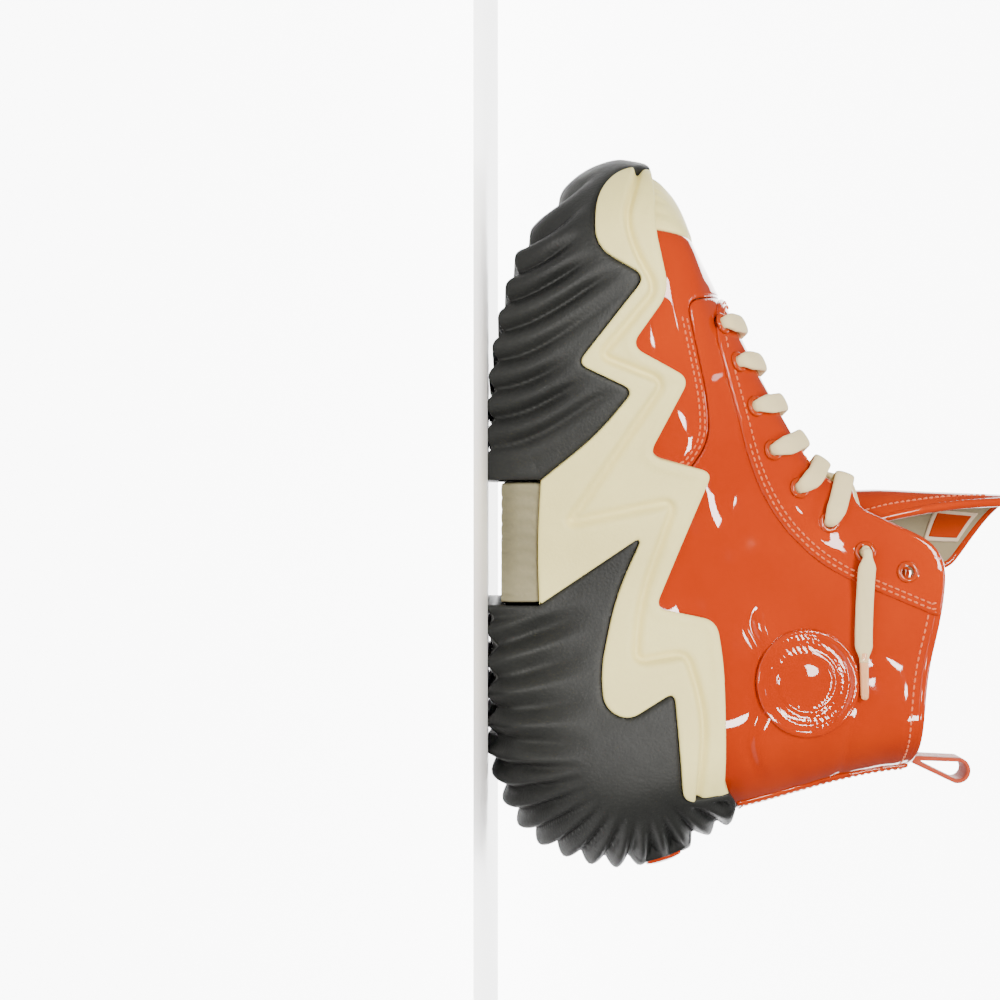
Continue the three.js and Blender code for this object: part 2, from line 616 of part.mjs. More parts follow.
function addUpper() {
  const wall = layer(UPPER_OUT, UPPER_WALL).subtract(collarCut).subtract(throatCut).subtract(holes);
  const toeCap = wall.intersect(region(TOE_CAP_EDGE));
  add("toe_cap", toeCap, creamRubber);
  const behindToe = wall.subtract(region(TOE_CAP_EDGE, GAP));
  add("vamp", behindToe.intersect(region(VAMP_EDGE)), patent);
  const quarters = behindToe.subtract(region(VAMP_EDGE, GAP));
  add("quarter_medial", quarters.intersect(half(1)), patent);
  add("quarter_lateral", quarters.intersect(half(-1)), patent);

  const badgePlace = onUpper(...BADGE_AT, 1).place;
  const disc = (radius) => turned([[0, -50], [radius, -50], [radius, 50], [0, 50]],
    badgePlace, new THREE.Vector3(0, 1, 0), 40);
  const overlay = layer(OVERLAY_TOP, OVERLAY).subtract(collarCut);
  const stays = overlay.subtract(throatCut).subtract(holes).intersect(region(EYESTAY_EDGE));
  add("eyestay_medial", stays.intersect(half(1)), patent);
  add("eyestay_lateral", stays.intersect(half(-1)), patent);
  const stripBox = box(-80, 10, -HEEL_STRIP_HALF, HEEL_STRIP_HALF, HEEL_STRIP_LOW, 240);
  add("heel_strip", overlay.intersect(stripBox), patent);
  const face = layer(OVERLAY_TOP - BADGE_FACE, OVERLAY - BADGE_FACE).intersect(disc(BADGE_R));
  const rim = overlay.intersect(disc(BADGE_R).subtract(disc(BADGE_R - BADGE_RIM)));
  add("ankle_badge", face.add(rim).intersect(half(1)), patent);

  const stiffener = layer(STIFFENER_TOP, STIFFENER);
  add("toe_puff", stiffener.intersect(region(TOE_CAP_EDGE)), fibreboard);
  add("heel_counter", stiffener.intersect(region(COUNTER_EDGE)), fibreboard);
  add("collar_pad", stiffener.intersect(region(COLLAR_PAD_EDGE)), canvas);
  const lining = layer(LINING_TOP, LINING)
    .subtract(collarCut)
    .subtract(throatCut)
    .subtract(holes)
    .subtract(region(EYESTAY_EDGE, LINING_BACK));
  add("lining", lining, canvas);
}

// ---------------------------------------------------------------- tongue
function tonguePoint(row, share) {
  const angle = THREE.MathUtils.degToRad(THREE.MathUtils.lerp(-row.lateral, row.medial, share));
  const x = row.at[0] - row.depth * (1 - Math.cos(angle));
  const z = row.at[1] - (row.drop ?? 0) * (1 - share) ** 2;
  return new THREE.Vector3(x, row.half * Math.sin(angle) + swing(row.at[0]), z);
}

function tongueRows(across, steps) {
  const lines = Array.from({ length: across + 1 }, (_, i) => {
    const points = TONGUE_ROWS.map((row) => tonguePoint(row, i / across));
    return new THREE.CatmullRomCurve3(points, false, "catmullrom", 0.5);
  });
  return Array.from({ length: steps + 1 }, (_, j) => lines.map((line) => line.getPoint(j / steps)));
}

const tongueGrid = tongueRows(14, 18);

function addTongue() {
  const tongue = thickened(tongueGrid, TONGUE);
  const [x, z] = FOLD_AT;
  const slope = Math.tan(THREE.MathUtils.degToRad(FOLD_BACK));
  const corners = (points) => prism(points.map(([a, b]) => new THREE.Vector2(a, b)));
  const below = corners([[x + 20, z], [x, z], [x - 80, z - 80 * slope], [x - 80, 0], [260, 0], [260, z]]);
  const above = corners([[x - 80, z + FOLD_ROOM], [260, z + FOLD_ROOM], [260, 260], [x - 80, 260]]);
  add("tongue", tongue.intersect(below), patent);
  add("tongue_flap", tongue.intersect(above), patent);

  const labelRows = tongueRows(24, 36).slice(31, 35).map((row) => row.slice(2, 8));
  const normals = rowNormals(labelRows, false);
  const inner = TONGUE / 2 + GAP + LABEL / 2;
  const centre = new THREE.Vector3(60, 0, 205);
  const shifted = labelRows.map((row, j) => row.map((p, i) => {
    const towards = centre.clone().sub(p).dot(normals[j][i]) > 0 ? 1 : -1;
    return p.clone().addScaledVector(normals[j][i], towards * inner);
  }));
  add("tongue_label", thickened(shifted, LABEL), cotton);
}

// ---------------------------------------------------------------- lace
const LACE_OUT = OVERLAY_TOP + EYELET_SEAT + EYELET_THICK + LACE_LIFT + LACE_R;
const LACE_IN = WALL_IN - LACE_SAG - LACE_R;

const TONGUE_FINE = tongueRows(48, 96);
const TONGUE_NORMALS = rowNormals(TONGUE_FINE, false).map((row) => row.map((n) => n.negate()));

// A point moved out, where it has to be, to at least a given height above the tongue's outer face.
function offTongue(point, height) {
  let nearest = TONGUE_FINE[0][0];
  let normal = TONGUE_NORMALS[0][0];
  TONGUE_FINE.forEach((row, j) => row.forEach((p, i) => {
    if (p.distanceToSquared(point) < nearest.distanceToSquared(point)) {
      nearest = p;
      normal = TONGUE_NORMALS[j][i];
    }
  }));
  const now = point.clone().sub(nearest).dot(normal) - TONGUE / 2;
  return point.clone().addScaledVector(normal, Math.max(0, height - now));
}

// The point above the tongue's centre line at a given height, nearest to x, z in side view.
function overTongue(x, z, height) {
  const target = new THREE.Vector3(x, 0, z);
  const flat = (p) => new THREE.Vector3(p.x, 0, p.z);
  const middle = TONGUE_ROWS.map(({ at }) => new THREE.Vector3(at[0], swing(at[0]), at[1]));
  const points = new THREE.CatmullRomCurve3(middle, false, "catmullrom", 0.5).getPoints(200);
  const nearest = points.reduce((a, b) => (flat(a).distanceTo(target) < flat(b).distanceTo(target) ? a : b));
  return offTongue(nearest, height);
}

// The lace from the last lateral eyelet down to the first pair and up to the last medial eyelet.
function laceRoute() {
  const eye = (side, i) => eyelets.find((one) => one.side === side && one.order === i);
  const over = ({ place, out }, height) => place.clone().addScaledVector(out, height);
  // One strand leaves eyelet i on a side, crosses the throat and comes up through the next one on the other side.
  const strand = (side, i) => {
    const from = eye(side, i);
    const to = eye(-side, i + 1);
    const deep = LACE_R + LACE_CLEAR;
    const height = side > 0 ? deep : deep + 2 * LACE_R + GAP;
    const middle = from.place.clone().add(to.place).divideScalar(2);
    const centre = overTongue(middle.x, middle.z, height);
    const edge = lifted(from.place.clone().lerp(centre, 0.48), LACE_OUT + 1.5 * LACE_CLEAR);
    const under = offTongue(lifted(to.place.clone().lerp(centre, 0.28), LACE_IN), deep);
    return [
      over(from, LACE_OUT),
      lifted(from.place.clone().lerp(centre, 0.25), LACE_OUT),
      edge,
      offTongue(edge.clone().lerp(centre, 0.35), deep),
      offTongue(edge.clone().lerp(centre, 0.7), (height + deep) / 2),
      centre,
      offTongue(centre.clone().lerp(under, 0.3), (height + deep) / 2),
      offTongue(centre.clone().lerp(under, 0.65), deep),
      under,
      over(to, LACE_IN),
    ];
  };
  const climb = (side) => {
    const points = [];
    for (let i = 0; i < LACED - 1; i += 1) {
      points.push(...strand(i % 2 ? -side : side, i));
    }
    return points;
  };
  const last = (side) => over(eye(side, LACED - 1), LACE_OUT - LACE_R);
  const first = [eye(1, 0), eye(-1, 0)];
  const bar = overTongue(EYELETS[0][0], EYELETS[0][1], LACE_R + LACE_CLEAR);
  const endSide = (side) => ((LACED - 1) % 2 ? -side : side);
  const medial = [over(first[0], LACE_IN), ...climb(1), last(endSide(1))];
  const lateral = [over(first[1], LACE_IN), ...climb(-1), last(endSide(-1))];
  return [...lateral.reverse(), bar, ...medial];
}

// Points with each corner rounded, as a chain of places along a rope.
function softened(points, reach) {
  const path = [points[0]];
  for (let i = 1; i < points.length - 1; i += 1) {
    const [before, corner, after] = points.slice(i - 1, i + 2);
    if (after.clone().sub(corner).angleTo(corner.clone().sub(before)) < SLIGHT_TURN) {
      path.push(corner);
      continue;
    }
    const near = Math.min(reach, corner.distanceTo(before) * 0.45, corner.distanceTo(after) * 0.45);
    const start = corner.clone().lerp(before, near / corner.distanceTo(before));
    const end = corner.clone().lerp(after, near / corner.distanceTo(after));
    const bend = new THREE.QuadraticBezierCurve3(start, corner, end);
    path.push(...bend.getPoints(2));
  }
  path.push(points.at(-1));
  return path;
}

function rope(points, radius, sides = 8) {
  const along = points.map((p, i) => {
    const before = points[Math.max(0, i - 1)];
    const after = points[Math.min(points.length - 1, i + 1)];
    return after.clone().sub(before).normalize();
  });
  const side = new THREE.Vector3(0, 1, 0).cross(along[0]).normalize();
  const loops = points.map((p, i) => {
    if (i > 0) {
      side.applyQuaternion(new THREE.Quaternion().setFromUnitVectors(along[i - 1], along[i]));
    }
    const across = along[i].clone().cross(side);
    return Array.from({ length: sides }, (_, k) => {
      const angle = (k / sides) * 2 * Math.PI;
      return p.clone().addScaledVector(side, radius * Math.cos(angle)).addScaledVector(across, radius * Math.sin(angle));
    });
  });
  return ribbonLoft(loops);
}

function addFreeEnd(name, route) {
  const points = route.map((p) => new THREE.Vector3(...p));
  const curve = new THREE.CatmullRomCurve3(points);
  const section = new THREE.Shape();
  section.absarc(0, 0, LACE_R, 0, 2 * Math.PI);
  const options = { extrudePath: curve, steps: 20, curveSegments: 4 };
  add(`lace_end_${name}`, toSolid(new THREE.ExtrudeGeometry(section, options)), cotton);
  const end = points.at(-1);
  const along = end.clone().sub(points.at(-2)).normalize();
  const profile = [
    [0, GAP], [AGLET_R, GAP], [AGLET_R, AGLET_LENGTH - 1], [AGLET_R - 0.7, AGLET_LENGTH], [0, AGLET_LENGTH],
  ];
  add(`aglet_${name}`, turned(profile, end, along, 12), plastic);
}

function addLace() {
  add("lace", rope(softened(laceRoute(), LACE_BEND), LACE_R), cotton);
  addFreeEnd("medial", LACE_END_MEDIAL);
  addFreeEnd("lateral", LACE_END_LATERAL);
}

// ---------------------------------------------------------------- pull loop
function addPullLoop() {
  const base = new THREE.Vector2(UPPER_LEVELS.at(-2).back[0], COLLAR_EDGE[5][1] + GAP + 2 * LOOP_STRAP);
  const teardrop = (inset) => {
    const belly = LOOP_BELLY / 2 - inset;
    const foot = LOOP_STRAP - inset;
    const shape = new THREE.Shape();
    shape.absarc(0, LOOP_LENGTH - LOOP_BELLY / 2, belly, 0, Math.PI, false);
    if (foot > 0) {
      shape.absarc(0, 0, foot, Math.PI, 2 * Math.PI, false);
    } else {
      shape.lineTo(0, 3 * LOOP_STRAP);
    }
    return shape;
  };
  const shape = teardrop(0);
  shape.holes.push(teardrop(LOOP_STRAP));
  const geometry = new THREE.ExtrudeGeometry(shape, { depth: LOOP_WIDTH, bevelEnabled: false, curveSegments: 8 });
  geometry.translate(0, 0, -LOOP_WIDTH / 2);
  geometry.rotateX(Math.PI / 2);
  geometry.rotateY(-THREE.MathUtils.degToRad(LOOP_LEAN));
  geometry.translate(base.x, 0, base.y);
  add("pull_loop", toSolid(geometry), patent);
}

addSole();
addFootbed();
addUpper();
addEyelets();
addTongue();
addLace();
addPullLoop();

export default shoe;
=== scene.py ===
# %% [markdown]
# # A platform basketball high top
# This lesson dresses a jointed CAD model of one shoe: patent upper, canvas lining, flat cotton laces and a tall
# moulded sole. The CAD frame says where everything is; the meshes made here say how it looks.
# %% The frame and the tools
import math
import bpy
import numpy as np
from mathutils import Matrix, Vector
from mathutils.bvhtree import BVHTree


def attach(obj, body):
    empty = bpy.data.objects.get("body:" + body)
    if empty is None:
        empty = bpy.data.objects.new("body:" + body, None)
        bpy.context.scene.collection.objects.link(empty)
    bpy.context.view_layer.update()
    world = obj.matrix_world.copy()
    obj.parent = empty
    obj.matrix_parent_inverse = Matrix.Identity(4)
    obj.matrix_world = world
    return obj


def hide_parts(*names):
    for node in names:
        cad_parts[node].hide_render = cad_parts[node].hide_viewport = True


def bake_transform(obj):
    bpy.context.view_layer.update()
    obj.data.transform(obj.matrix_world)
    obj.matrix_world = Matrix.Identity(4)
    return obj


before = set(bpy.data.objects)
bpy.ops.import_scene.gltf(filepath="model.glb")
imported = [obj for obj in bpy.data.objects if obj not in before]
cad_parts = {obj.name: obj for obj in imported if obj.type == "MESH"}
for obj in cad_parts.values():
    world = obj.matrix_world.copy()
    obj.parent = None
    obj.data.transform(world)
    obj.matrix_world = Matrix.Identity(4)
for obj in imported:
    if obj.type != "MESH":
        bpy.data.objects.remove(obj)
bpy.context.view_layer.update()
MM = 0.001

# %% [markdown]
# ## Camera and light
# A shoe is bought by its side view, so the camera looks straight at the inner side with the toe up. A dim
# room with small bright panels gives patent its sharp glints on deep colour. The wall far behind glows white.
# %% Camera, floor and light
CAMERA_AT = Vector((0.0861, 0.750, 0.005))
LENS = 63.2


def place_camera():
    """The camera that the lesson's picture is taken with, toe up and sole to the left."""
    camera = bpy.data.objects.new("camera", bpy.data.cameras.new("camera"))
    bpy.context.scene.collection.objects.link(camera)
    camera.data.lens = LENS
    camera.data.sensor_width = 36
    camera.location = CAMERA_AT
    camera.rotation_euler = (math.radians(90), math.radians(-90), math.radians(180))
    bpy.context.scene.camera = camera
    return camera


def panel_light(name, at, towards, size, power, colour=(1, 1, 1)):
    """A bright square panel that shines from one place at another."""
    data = bpy.data.lights.new(name, "AREA")
    data.shape = "RECTANGLE"
    data.size, data.size_y = size
    data.energy = power
    data.color = colour
    light = bpy.data.objects.new(name, data)
    bpy.context.scene.collection.objects.link(light)
    light.location = at
    aim = Vector(towards) - Vector(at)
    light.rotation_euler = aim.to_track_quat("-Z", "Y").to_euler()
    return light


camera = place_camera()
middle = (0.08, 0, 0.09)
panel_light("key", (0.33, 0.80, 0.50), middle, (0.20, 0.20), 9, (1, 0.97, 0.92))
panel_light("second", (-0.22, 0.88, 0.42), middle, (0.13, 0.13), 5, (1, 0.97, 0.92))
panel_light("low_fill", (0.16, 1.05, 0.16), middle, (0.10, 0.10), 3)
panel_light("soft_top", (0.05, 0.25, 1.2), middle, (0.35, 0.35), 5)
panel_light("far_side", (0.10, -1.1, 0.7), middle, (0.6, 0.6), 9)
world = bpy.data.worlds.new("grey_room")
world.use_nodes = True
world.node_tree.nodes["Background"].inputs["Color"].default_value = (1, 1, 1, 1)
world.node_tree.nodes["Background"].inputs["Strength"].default_value = 0.24
bpy.context.scene.world = world


def backdrop():
    """A glowing white wall far behind the shoe, as behind a lit product table."""
    mesh = bpy.data.meshes.new("backdrop")
    mesh.from_pydata([(-3, -4, -1.5), (3, -4, -1.5), (3, -4, 2.5), (-3, -4, 2.5)], [], [(0, 3, 2, 1)])
    wall = bpy.data.objects.new("backdrop", mesh)
    bpy.context.scene.collection.objects.link(wall)
    glow = bpy.data.materials.new("glowing_wall")
    glow.use_nodes = True
    shader = glow.node_tree.nodes["Principled BSDF"]
    shader.inputs["Base Color"].default_value = (0.9, 0.9, 0.9, 1)
    shader.inputs["Emission Color"].default_value = (1, 1, 1, 1)
    shader.inputs["Emission Strength"].default_value = 9
    mesh.materials.append(glow)


backdrop()
print("camera at", tuple(CAMERA_AT))

# %% [markdown]
# ## Two small helpers for meshes
# Every piece ends up as points and faces, so one function makes the mesh, smooths it and lets it ride on its body.
# %% Points and faces to a piece
def new_piece(name, points, faces, finish, body="root"):
    """Millimetre points and faces as a piece in metres, on its body and with its material slot."""
    mesh = bpy.data.meshes.new(name)
    mesh.from_pydata((np.asarray(points) * MM).tolist(), [], [list(map(int, f)) for f in faces])
    mesh.validate()
    piece = bpy.data.objects.new(name, mesh)
    bpy.context.scene.collection.objects.link(piece)
    mesh.polygons.foreach_set("use_smooth", [True] * len(mesh.polygons))
    mesh.materials.append(finish)
    if body:
        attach(piece, body)
    return piece


def unit(v):
    """Directions of length 1."""
    return v / np.maximum(np.linalg.norm(v, axis=-1, keepdims=True), 1e-9)


def smoothstep(x, low, high):
    """A soft step from 0 at low to 1 at high."""
    t = np.clip((np.asarray(x, float) - low) / (high - low), 0, 1)
    return t * t * (3 - 2 * t)

# %% [markdown]
# ## Shader maths as plain expressions
# Noise, weave and wear are sums and products. A small class wraps a socket, so that they can be written as such.
# %% A socket that can be added and multiplied
class Val:
    """A socket of a shader node, so that values can be added, taken away and multiplied."""

    def __init__(self, tree, socket):
        self.tree = tree
        self.socket = socket

    def node(self, kind, settings=None, **sockets):
        made = self.tree.nodes.new(kind)
        for key, value in (settings or {}).items():
            setattr(made, key, value)
        for key, value in sockets.items():
            target = made.inputs[int(key[1:])] if key[0] == "i" and key[1:].isdigit() else made.inputs[key]
            if isinstance(value, Val):
                self.tree.links.new(value.socket, target)
            else:
                target.default_value = value
        return made

    def math(self, operation, other=0.0, clamp=False):
        made = self.node("ShaderNodeMath", {"operation": operation, "use_clamp": clamp}, i0=self, i1=other)
        return Val(self.tree, made.outputs[0])

    def __add__(self, other):
        return self.math("ADD", other)

    def __sub__(self, other):
        return self.math("SUBTRACT", other)

    def __mul__(self, other):
        return self.math("MULTIPLY", other)

    def __rsub__(self, other):
        made = self.node("ShaderNodeMath", {"operation": "SUBTRACT"}, i0=other, i1=self)
        return Val(self.tree, made.outputs[0])

    __radd__ = __add__
    __rmul__ = __mul__

    def clamp(self):
        return self.math("ADD", 0.0, clamp=True)

    def blend(self, low, high):
        made = self.node("ShaderNodeMix", {"data_type": "RGBA"})
        self.tree.links.new(self.socket, made.inputs["Factor"])
        for name, colour in (("A", low), ("B", high)):
            target = [s for s in made.inputs if s.name == name and s.type == "RGBA"][0]
            if isinstance(colour, Val):
                self.tree.links.new(colour.socket, target)
            else:
                target.default_value = colour
        return Val(self.tree, [s for s in made.outputs if s.type == "RGBA"][0])


def colour(red, green, blue):
    """Screen colour, 0 to 255, as the linear colour that shaders take."""
    def linear(c):
        c /= 255
        return c / 12.92 if c <= 0.04045 else ((c + 0.055) / 1.055) ** 2.4
    return (linear(red), linear(green), linear(blue), 1)


class Finish:
    """A material with a Principled shader, its object coordinates and the ways to feed it."""

    def __init__(self, name, roughness, **constants):
        self.material = bpy.data.materials.new(name)
        self.material.use_nodes = True
        self.tree = self.material.node_tree
        self.shader = self.tree.nodes["Principled BSDF"]
        self.shader.inputs["Roughness"].default_value = roughness
        for key, value in constants.items():
            self.shader.inputs[key.replace("_", " ")].default_value = value
        coords = self.tree.nodes.new("ShaderNodeTexCoord")
        self.at = Val(self.tree, coords.outputs["Object"])

    def noise(self, scale, detail):
        made = self.at.node("ShaderNodeTexNoise", Vector=self.at, Scale=scale, Detail=detail)
        return Val(self.tree, made.outputs["Fac"])

    def wave(self, scale, direction, distortion):
        settings = {"wave_type": "BANDS", "bands_direction": direction}
        made = self.at.node("ShaderNodeTexWave", settings, Vector=self.at, Scale=scale, Distortion=distortion)
        return Val(self.tree, made.outputs["Fac"])

    def feed(self, socket, value):
        self.tree.links.new(value.socket, self.shader.inputs[socket])

    def bump(self, height, distance, strength=1.0):
        made = self.at.node("ShaderNodeBump", Height=height, Distance=distance, Strength=strength)
        self.tree.links.new(made.outputs["Normal"], self.shader.inputs["Normal"])

# %% [markdown]
# ## The finishes
# Patent is cloth under a thick clear coat: strong colour below, a mirror on top with a little orange peel. Rubber
# is matte with a fine moulding grain. Woven pieces are two crossed waves.
# %% Patent, rubber, cloth and the small parts
def patent_finish(name="orange_patent", deep=(166, 44, 0), bright=(182, 54, 0)):
    """Lacquered leather: cloudy colour under a clear, slightly rippled coat."""
    finish = Finish(name, 0.3, Coat_Weight=1.0, Coat_Roughness=0.03, Coat_IOR=1.42, Specular_IOR_Level=0.0)
    broad = finish.noise(14, 3)
    finish.feed("Base Color", ((broad - 0.35) * 2.4).clamp().blend(colour(*deep), colour(*bright)))
    peel = finish.noise(420, 2) * 0.25 + finish.noise(95, 2) * 0.75
    finish.feed("Roughness", finish.noise(60, 4) * 0.12 + 0.24)
    finish.bump(peel, 0.00025, 0.2)
    return finish.material


def rubber_finish(name, dark, light, roughness, grain=0.00025):
    """Moulded rubber or foam: soft clouds of colour, fine specks and a dull grain."""
    finish = Finish(name, roughness, Specular_IOR_Level=0.3)
    cloud = ((finish.noise(22, 5) - 0.3) * 2.2).clamp()
    speck = (finish.noise(700, 2) - 0.5) * 0.25
    finish.feed("Base Color", (cloud * 0.8 + speck + 0.1).clamp().blend(colour(*dark), colour(*light)))
    finish.feed("Roughness", finish.noise(90, 3) * 0.2 + (roughness - 0.1))
    finish.bump(finish.noise(900, 2) * 0.6 + finish.noise(180, 3) * 0.4, grain, 0.7)
    return finish.material


def woven_finish(name, dark, light, threads, distance, roughness=0.9):
    """Cloth, cord or thread: two waves of threads that cross, worn paler here and there."""
    finish = Finish(name, roughness, Sheen_Weight=0.15)
    weave = finish.wave(threads, "X", 0.4) * 0.5 + finish.wave(threads, "Z", 0.4) * 0.5
    worn = finish.noise(40, 4)
    finish.feed("Base Color", (weave * 0.6 + worn * 0.4).clamp().blend(colour(*dark), colour(*light)))
    finish.bump(weave, distance, 0.8)
    return finish.material


PATENT = patent_finish()
PAINT = patent_finish("orange_paint", (160, 48, 2), (178, 58, 4))
CREAM = rubber_finish("cream_rubber", (226, 212, 140), (248, 236, 160), 0.5)
BLACK = rubber_finish("black_rubber", (20, 21, 20), (40, 41, 39), 0.5, 0.0004)
GREY = rubber_finish("grey_rubber", (118, 112, 86), (144, 137, 108), 0.55)
CANVAS = woven_finish("lining_canvas", (132, 116, 84), (186, 172, 136), 900, 0.0003)
COTTON = woven_finish("lace_cotton", (240, 212, 146), (255, 242, 190), 700, 0.00035)
THREAD = woven_finish("orange_thread", (214, 84, 34), (240, 128, 74), 1500, 0.0001, 0.5)
PALE_THREAD = woven_finish("pale_thread", (206, 176, 142), (240, 218, 190), 1500, 0.0001, 0.6)
WEBBING = woven_finish("orange_webbing", (170, 54, 18), (206, 76, 30), 650, 0.0003, 0.6)
BOARD = woven_finish("fibre_board", (150, 122, 84), (186, 160, 118), 500, 0.0001)
PADDING = woven_finish("collar_foam", (180, 172, 150), (214, 206, 186), 380, 0.0002)
AGLET = patent_finish("aglet_plastic", (226, 160, 110), (242, 190, 146))
print("finishes:", len(bpy.data.materials))

# %% [markdown]
# ## The two skins
# A shoe is made round a last, a foot-shaped block, and everything on it follows that block's skin. The upper's skin
# and the sole's outside are each a stack of smooth closed loops, the same ones that the CAD pieces are cut from,
# sampled here finely enough for ridges and seams.
# %% Loops, heights and edges of the shoe
STATIONS = [0.12, 0.4, 0.7, 0.91]
UPPER_LEVELS = [
    ((-45, 57), (218, 47), (37, 34, 46, 40), 1.3), ((-47, 72), (222, 63), (38, 35, 47, 41.5), 1.5),
    ((-45, 92), (213, 76), (37, 34.5, 44, 37), 1.6), ((-41, 111), (192, 85), (35, 33, 38, 30), 1.6),
    ((-36, 129), (169, 97), (33, 31.5, 34, 24), 1.5), ((-31, 146), (135, 114), (32.5, 31, 32, 23), 1.4),
    ((-27, 163), (106, 133), (33, 32, 31, 24), 1.2), ((-25, 178), (96, 160), (34, 33.5, 32, 25), 1.1),
    ((-24, 193), (92, 198), (35, 34.5, 33, 26), 1),
]
SOLE_LEVELS = [
    ((-24, -0.6), (206, 26), (40, 37, 49, 44), 8), ((-48, 10), (218, 33), (46, 41, 53, 48), 5),
    ((-62.5, 26), (225.5, 42), (48, 42, 54, 49), 3), ((-70, 52), (229.5, 53), (48, 42, 54, 49), 2),
    ((-66, 76), (229, 61), (46, 41, 52.5, 48), 1.6), ((-56, 94), (227.5, 67), (44, 39.5, 50.5, 46), 1.5),
    ((-50, 106), (225, 73), (42, 38, 48.5, 43.5), 1.5),
]
TREAD_EDGE_FRONT = [
    (250, 90, 0), (225, 90, 0), (223.5, 66, 8), (219, 52, 12), (207, 43.5, 10), (186, 42, 9), (174.5, 62.5, 5.5),
    (140, 35.5, 4.5), (129.5, 58, 4.5), (112, 43.5, 30), (94, 21.3, 0), (94, -20, 0), (250, -20, 0),
]
TREAD_EDGE_REAR = [
    (43.5, -20, 0), (43.5, 20.6, 0), (72, 62.5, 5), (47, 51.5, 40), (18, 45.5, 30), (3, 46.5, 9), (-2.5, 56, 7),
    (9, 75, 4.5), (-35, 78.5, 5), (-35.5, 88, 5), (-31, 120, 0), (-90, 120, 0), (-90, -20, 0),
]
SHANK_EDGE = [(45, -20, 0), (45, 21, 0), (69, 20, 20), (92.5, 22, 0), (92.5, -20, 0)]
RIM_EDGE = [
    (250, 68.5, 0), (194, 67, 6), (168.5, 72.5, 7), (147, 57, 5.5), (134.5, 81, 5.5), (103.5, 64.5, 5.5),
    (97, 91, 4.5), (42.5, 68, 4.5), (37.5, 93, 6), (20, 95.6, 10), (-32, 96.5, 4), (-38, 103, 4), (-90, 104, 0),
    (-90, 150, 0), (250, 150, 0),
]
GROOVE_EDGE = [
    (240, 64, 0), (221.5, 61.5, 4), (199, 54.5, 12), (186, 57.5, 10), (169.5, 66.5, 5), (143, 44, 5), (133, 70, 5),
    (76, 31.5, 4.5), (85, 75, 5), (45, 61, 30), (20.5, 59, 6), (24, 80, 4.5), (0, 87, 20), (-33.5, 85, 4),
    (-90, 85, 0), (-90, -30, 0), (240, -30, 0),
]
TOE_CAP_EDGE = [(196, 20, 0), (194.5, 68, 12), (186, 120, 0), (260, 120, 0), (260, 20, 0)]
VAMP_EDGE = [
    (178, 130, 0), (166, 79, 6), (126, 88, 24), (110, 89, 14), (98, 81, 4), (92, 20, 0), (260, 20, 0), (260, 130, 0),
]
EYESTAY_EDGE = [
    (176, 130, 0), (170, 92, 12), (152, 91, 8), (121, 100, 20), (99, 106, 20), (78, 117, 20), (58, 137, 16),
    (39, 182, 0), (39, 230, 0), (176, 230, 0),
]
COLLAR_EDGE = [
    (130, 152, 0), (83, 150, 6), (66, 187, 13), (42, 185, 20), (5, 176, 30), (-60, 177, 0), (-60, 240, 0),
    (130, 240, 0),
]
EYELETS = [(157, 93), (141.5, 100), (123.5, 107.5), (106, 115), (90.5, 126), (76.5, 139), (64.5, 154), (56.5, 171)]
TONGUE_ROWS = [
    ((178, 81), 16, 8, 46, 46, 0), ((158, 84), 18, 10, 50, 50, 0), ((142, 95), 19, 12, 58, 58, 0),
    ((124, 105), 20, 15, 64, 64, 0), ((108, 115), 20, 19, 66, 66, 0), ((95, 129), 20, 25, 66, 70, 0),
    ((89.5, 147), 20.5, 30, 60, 78, 0), ((89, 170), 22, 33, 44, 84, 0), ((88, 195), 24, 34, 28, 86, 7),
    ((87, 222), 24, 33, 16, 84, 20),
]
WALL_OUT, WALL_IN, LINING_IN, OVERLAY_OUT = 1.5, -1.7, -4.8, 3.0

# %% A smooth curve through points, and a skin of such curves
def catmull(points, t, closed=False):
    """Points on a smooth curve through the given ones, t running from 0 to 1."""
    points = np.asarray(points, float)
    count = len(points)
    place = np.asarray(t, float) * (count if closed else count - 1)
    first = np.floor(place).astype(int)
    if not closed:
        first = np.minimum(first, count - 2)
        padded = np.concatenate([[2 * points[0] - points[1]], points, [2 * points[-1] - points[-2]]])
        around = [padded[first + k] for k in range(4)]
    else:
        around = [points[(first + k - 1) % count] for k in range(4)]
    w = (place - first).reshape((-1,) + (1,) * (points.ndim - 1))
    a, b, c, d = around
    return 0.5 * (2 * b + (c - a) * w + (2 * a - 5 * b + 4 * c - d) * w ** 2 + (3 * b - a - 3 * c + d) * w ** 3)


def swing(x):
    """How far the foot's middle line bends to the inner side, in millimetres, at a place along it."""
    return 4 * smoothstep(x, 60, 230)


def level_loop(back, front, half, late):
    """One loop round the last: its heel point, its toe point and four half widths."""
    def at(s, y):
        x = back[0] + (front[0] - back[0]) * s
        return (x, y + float(swing(x)), back[1] + (front[1] - back[1]) * s ** late)
    medial = [at(s, h) for s, h in zip(STATIONS, half)]
    lateral = [at(s, -h) for s, h in zip(STATIONS, half)][::-1]
    return [at(0, 0), *medial, at(1, 0), *lateral]


def skin_rows(levels, around, up):
    """A fine grid through a stack of loops."""
    loops = np.array([level_loop(*level) for level in levels])
    fine = catmull(loops.transpose(1, 0, 2), np.arange(around) / around, closed=True)
    return catmull(fine.transpose(1, 0, 2), np.linspace(0, 1, up + 1))


def softened(rows, rounds):
    """Evens out a grid a little, along its rows and from row to row."""
    for _ in range(rounds):
        rows = rows * 0.5 + 0.25 * (np.roll(rows, 1, axis=1) + np.roll(rows, -1, axis=1))
        inner = rows.copy()
        inner[1:-1] = rows[1:-1] * 0.5 + 0.25 * (rows[:-2] + rows[2:])
        rows = inner
    return rows


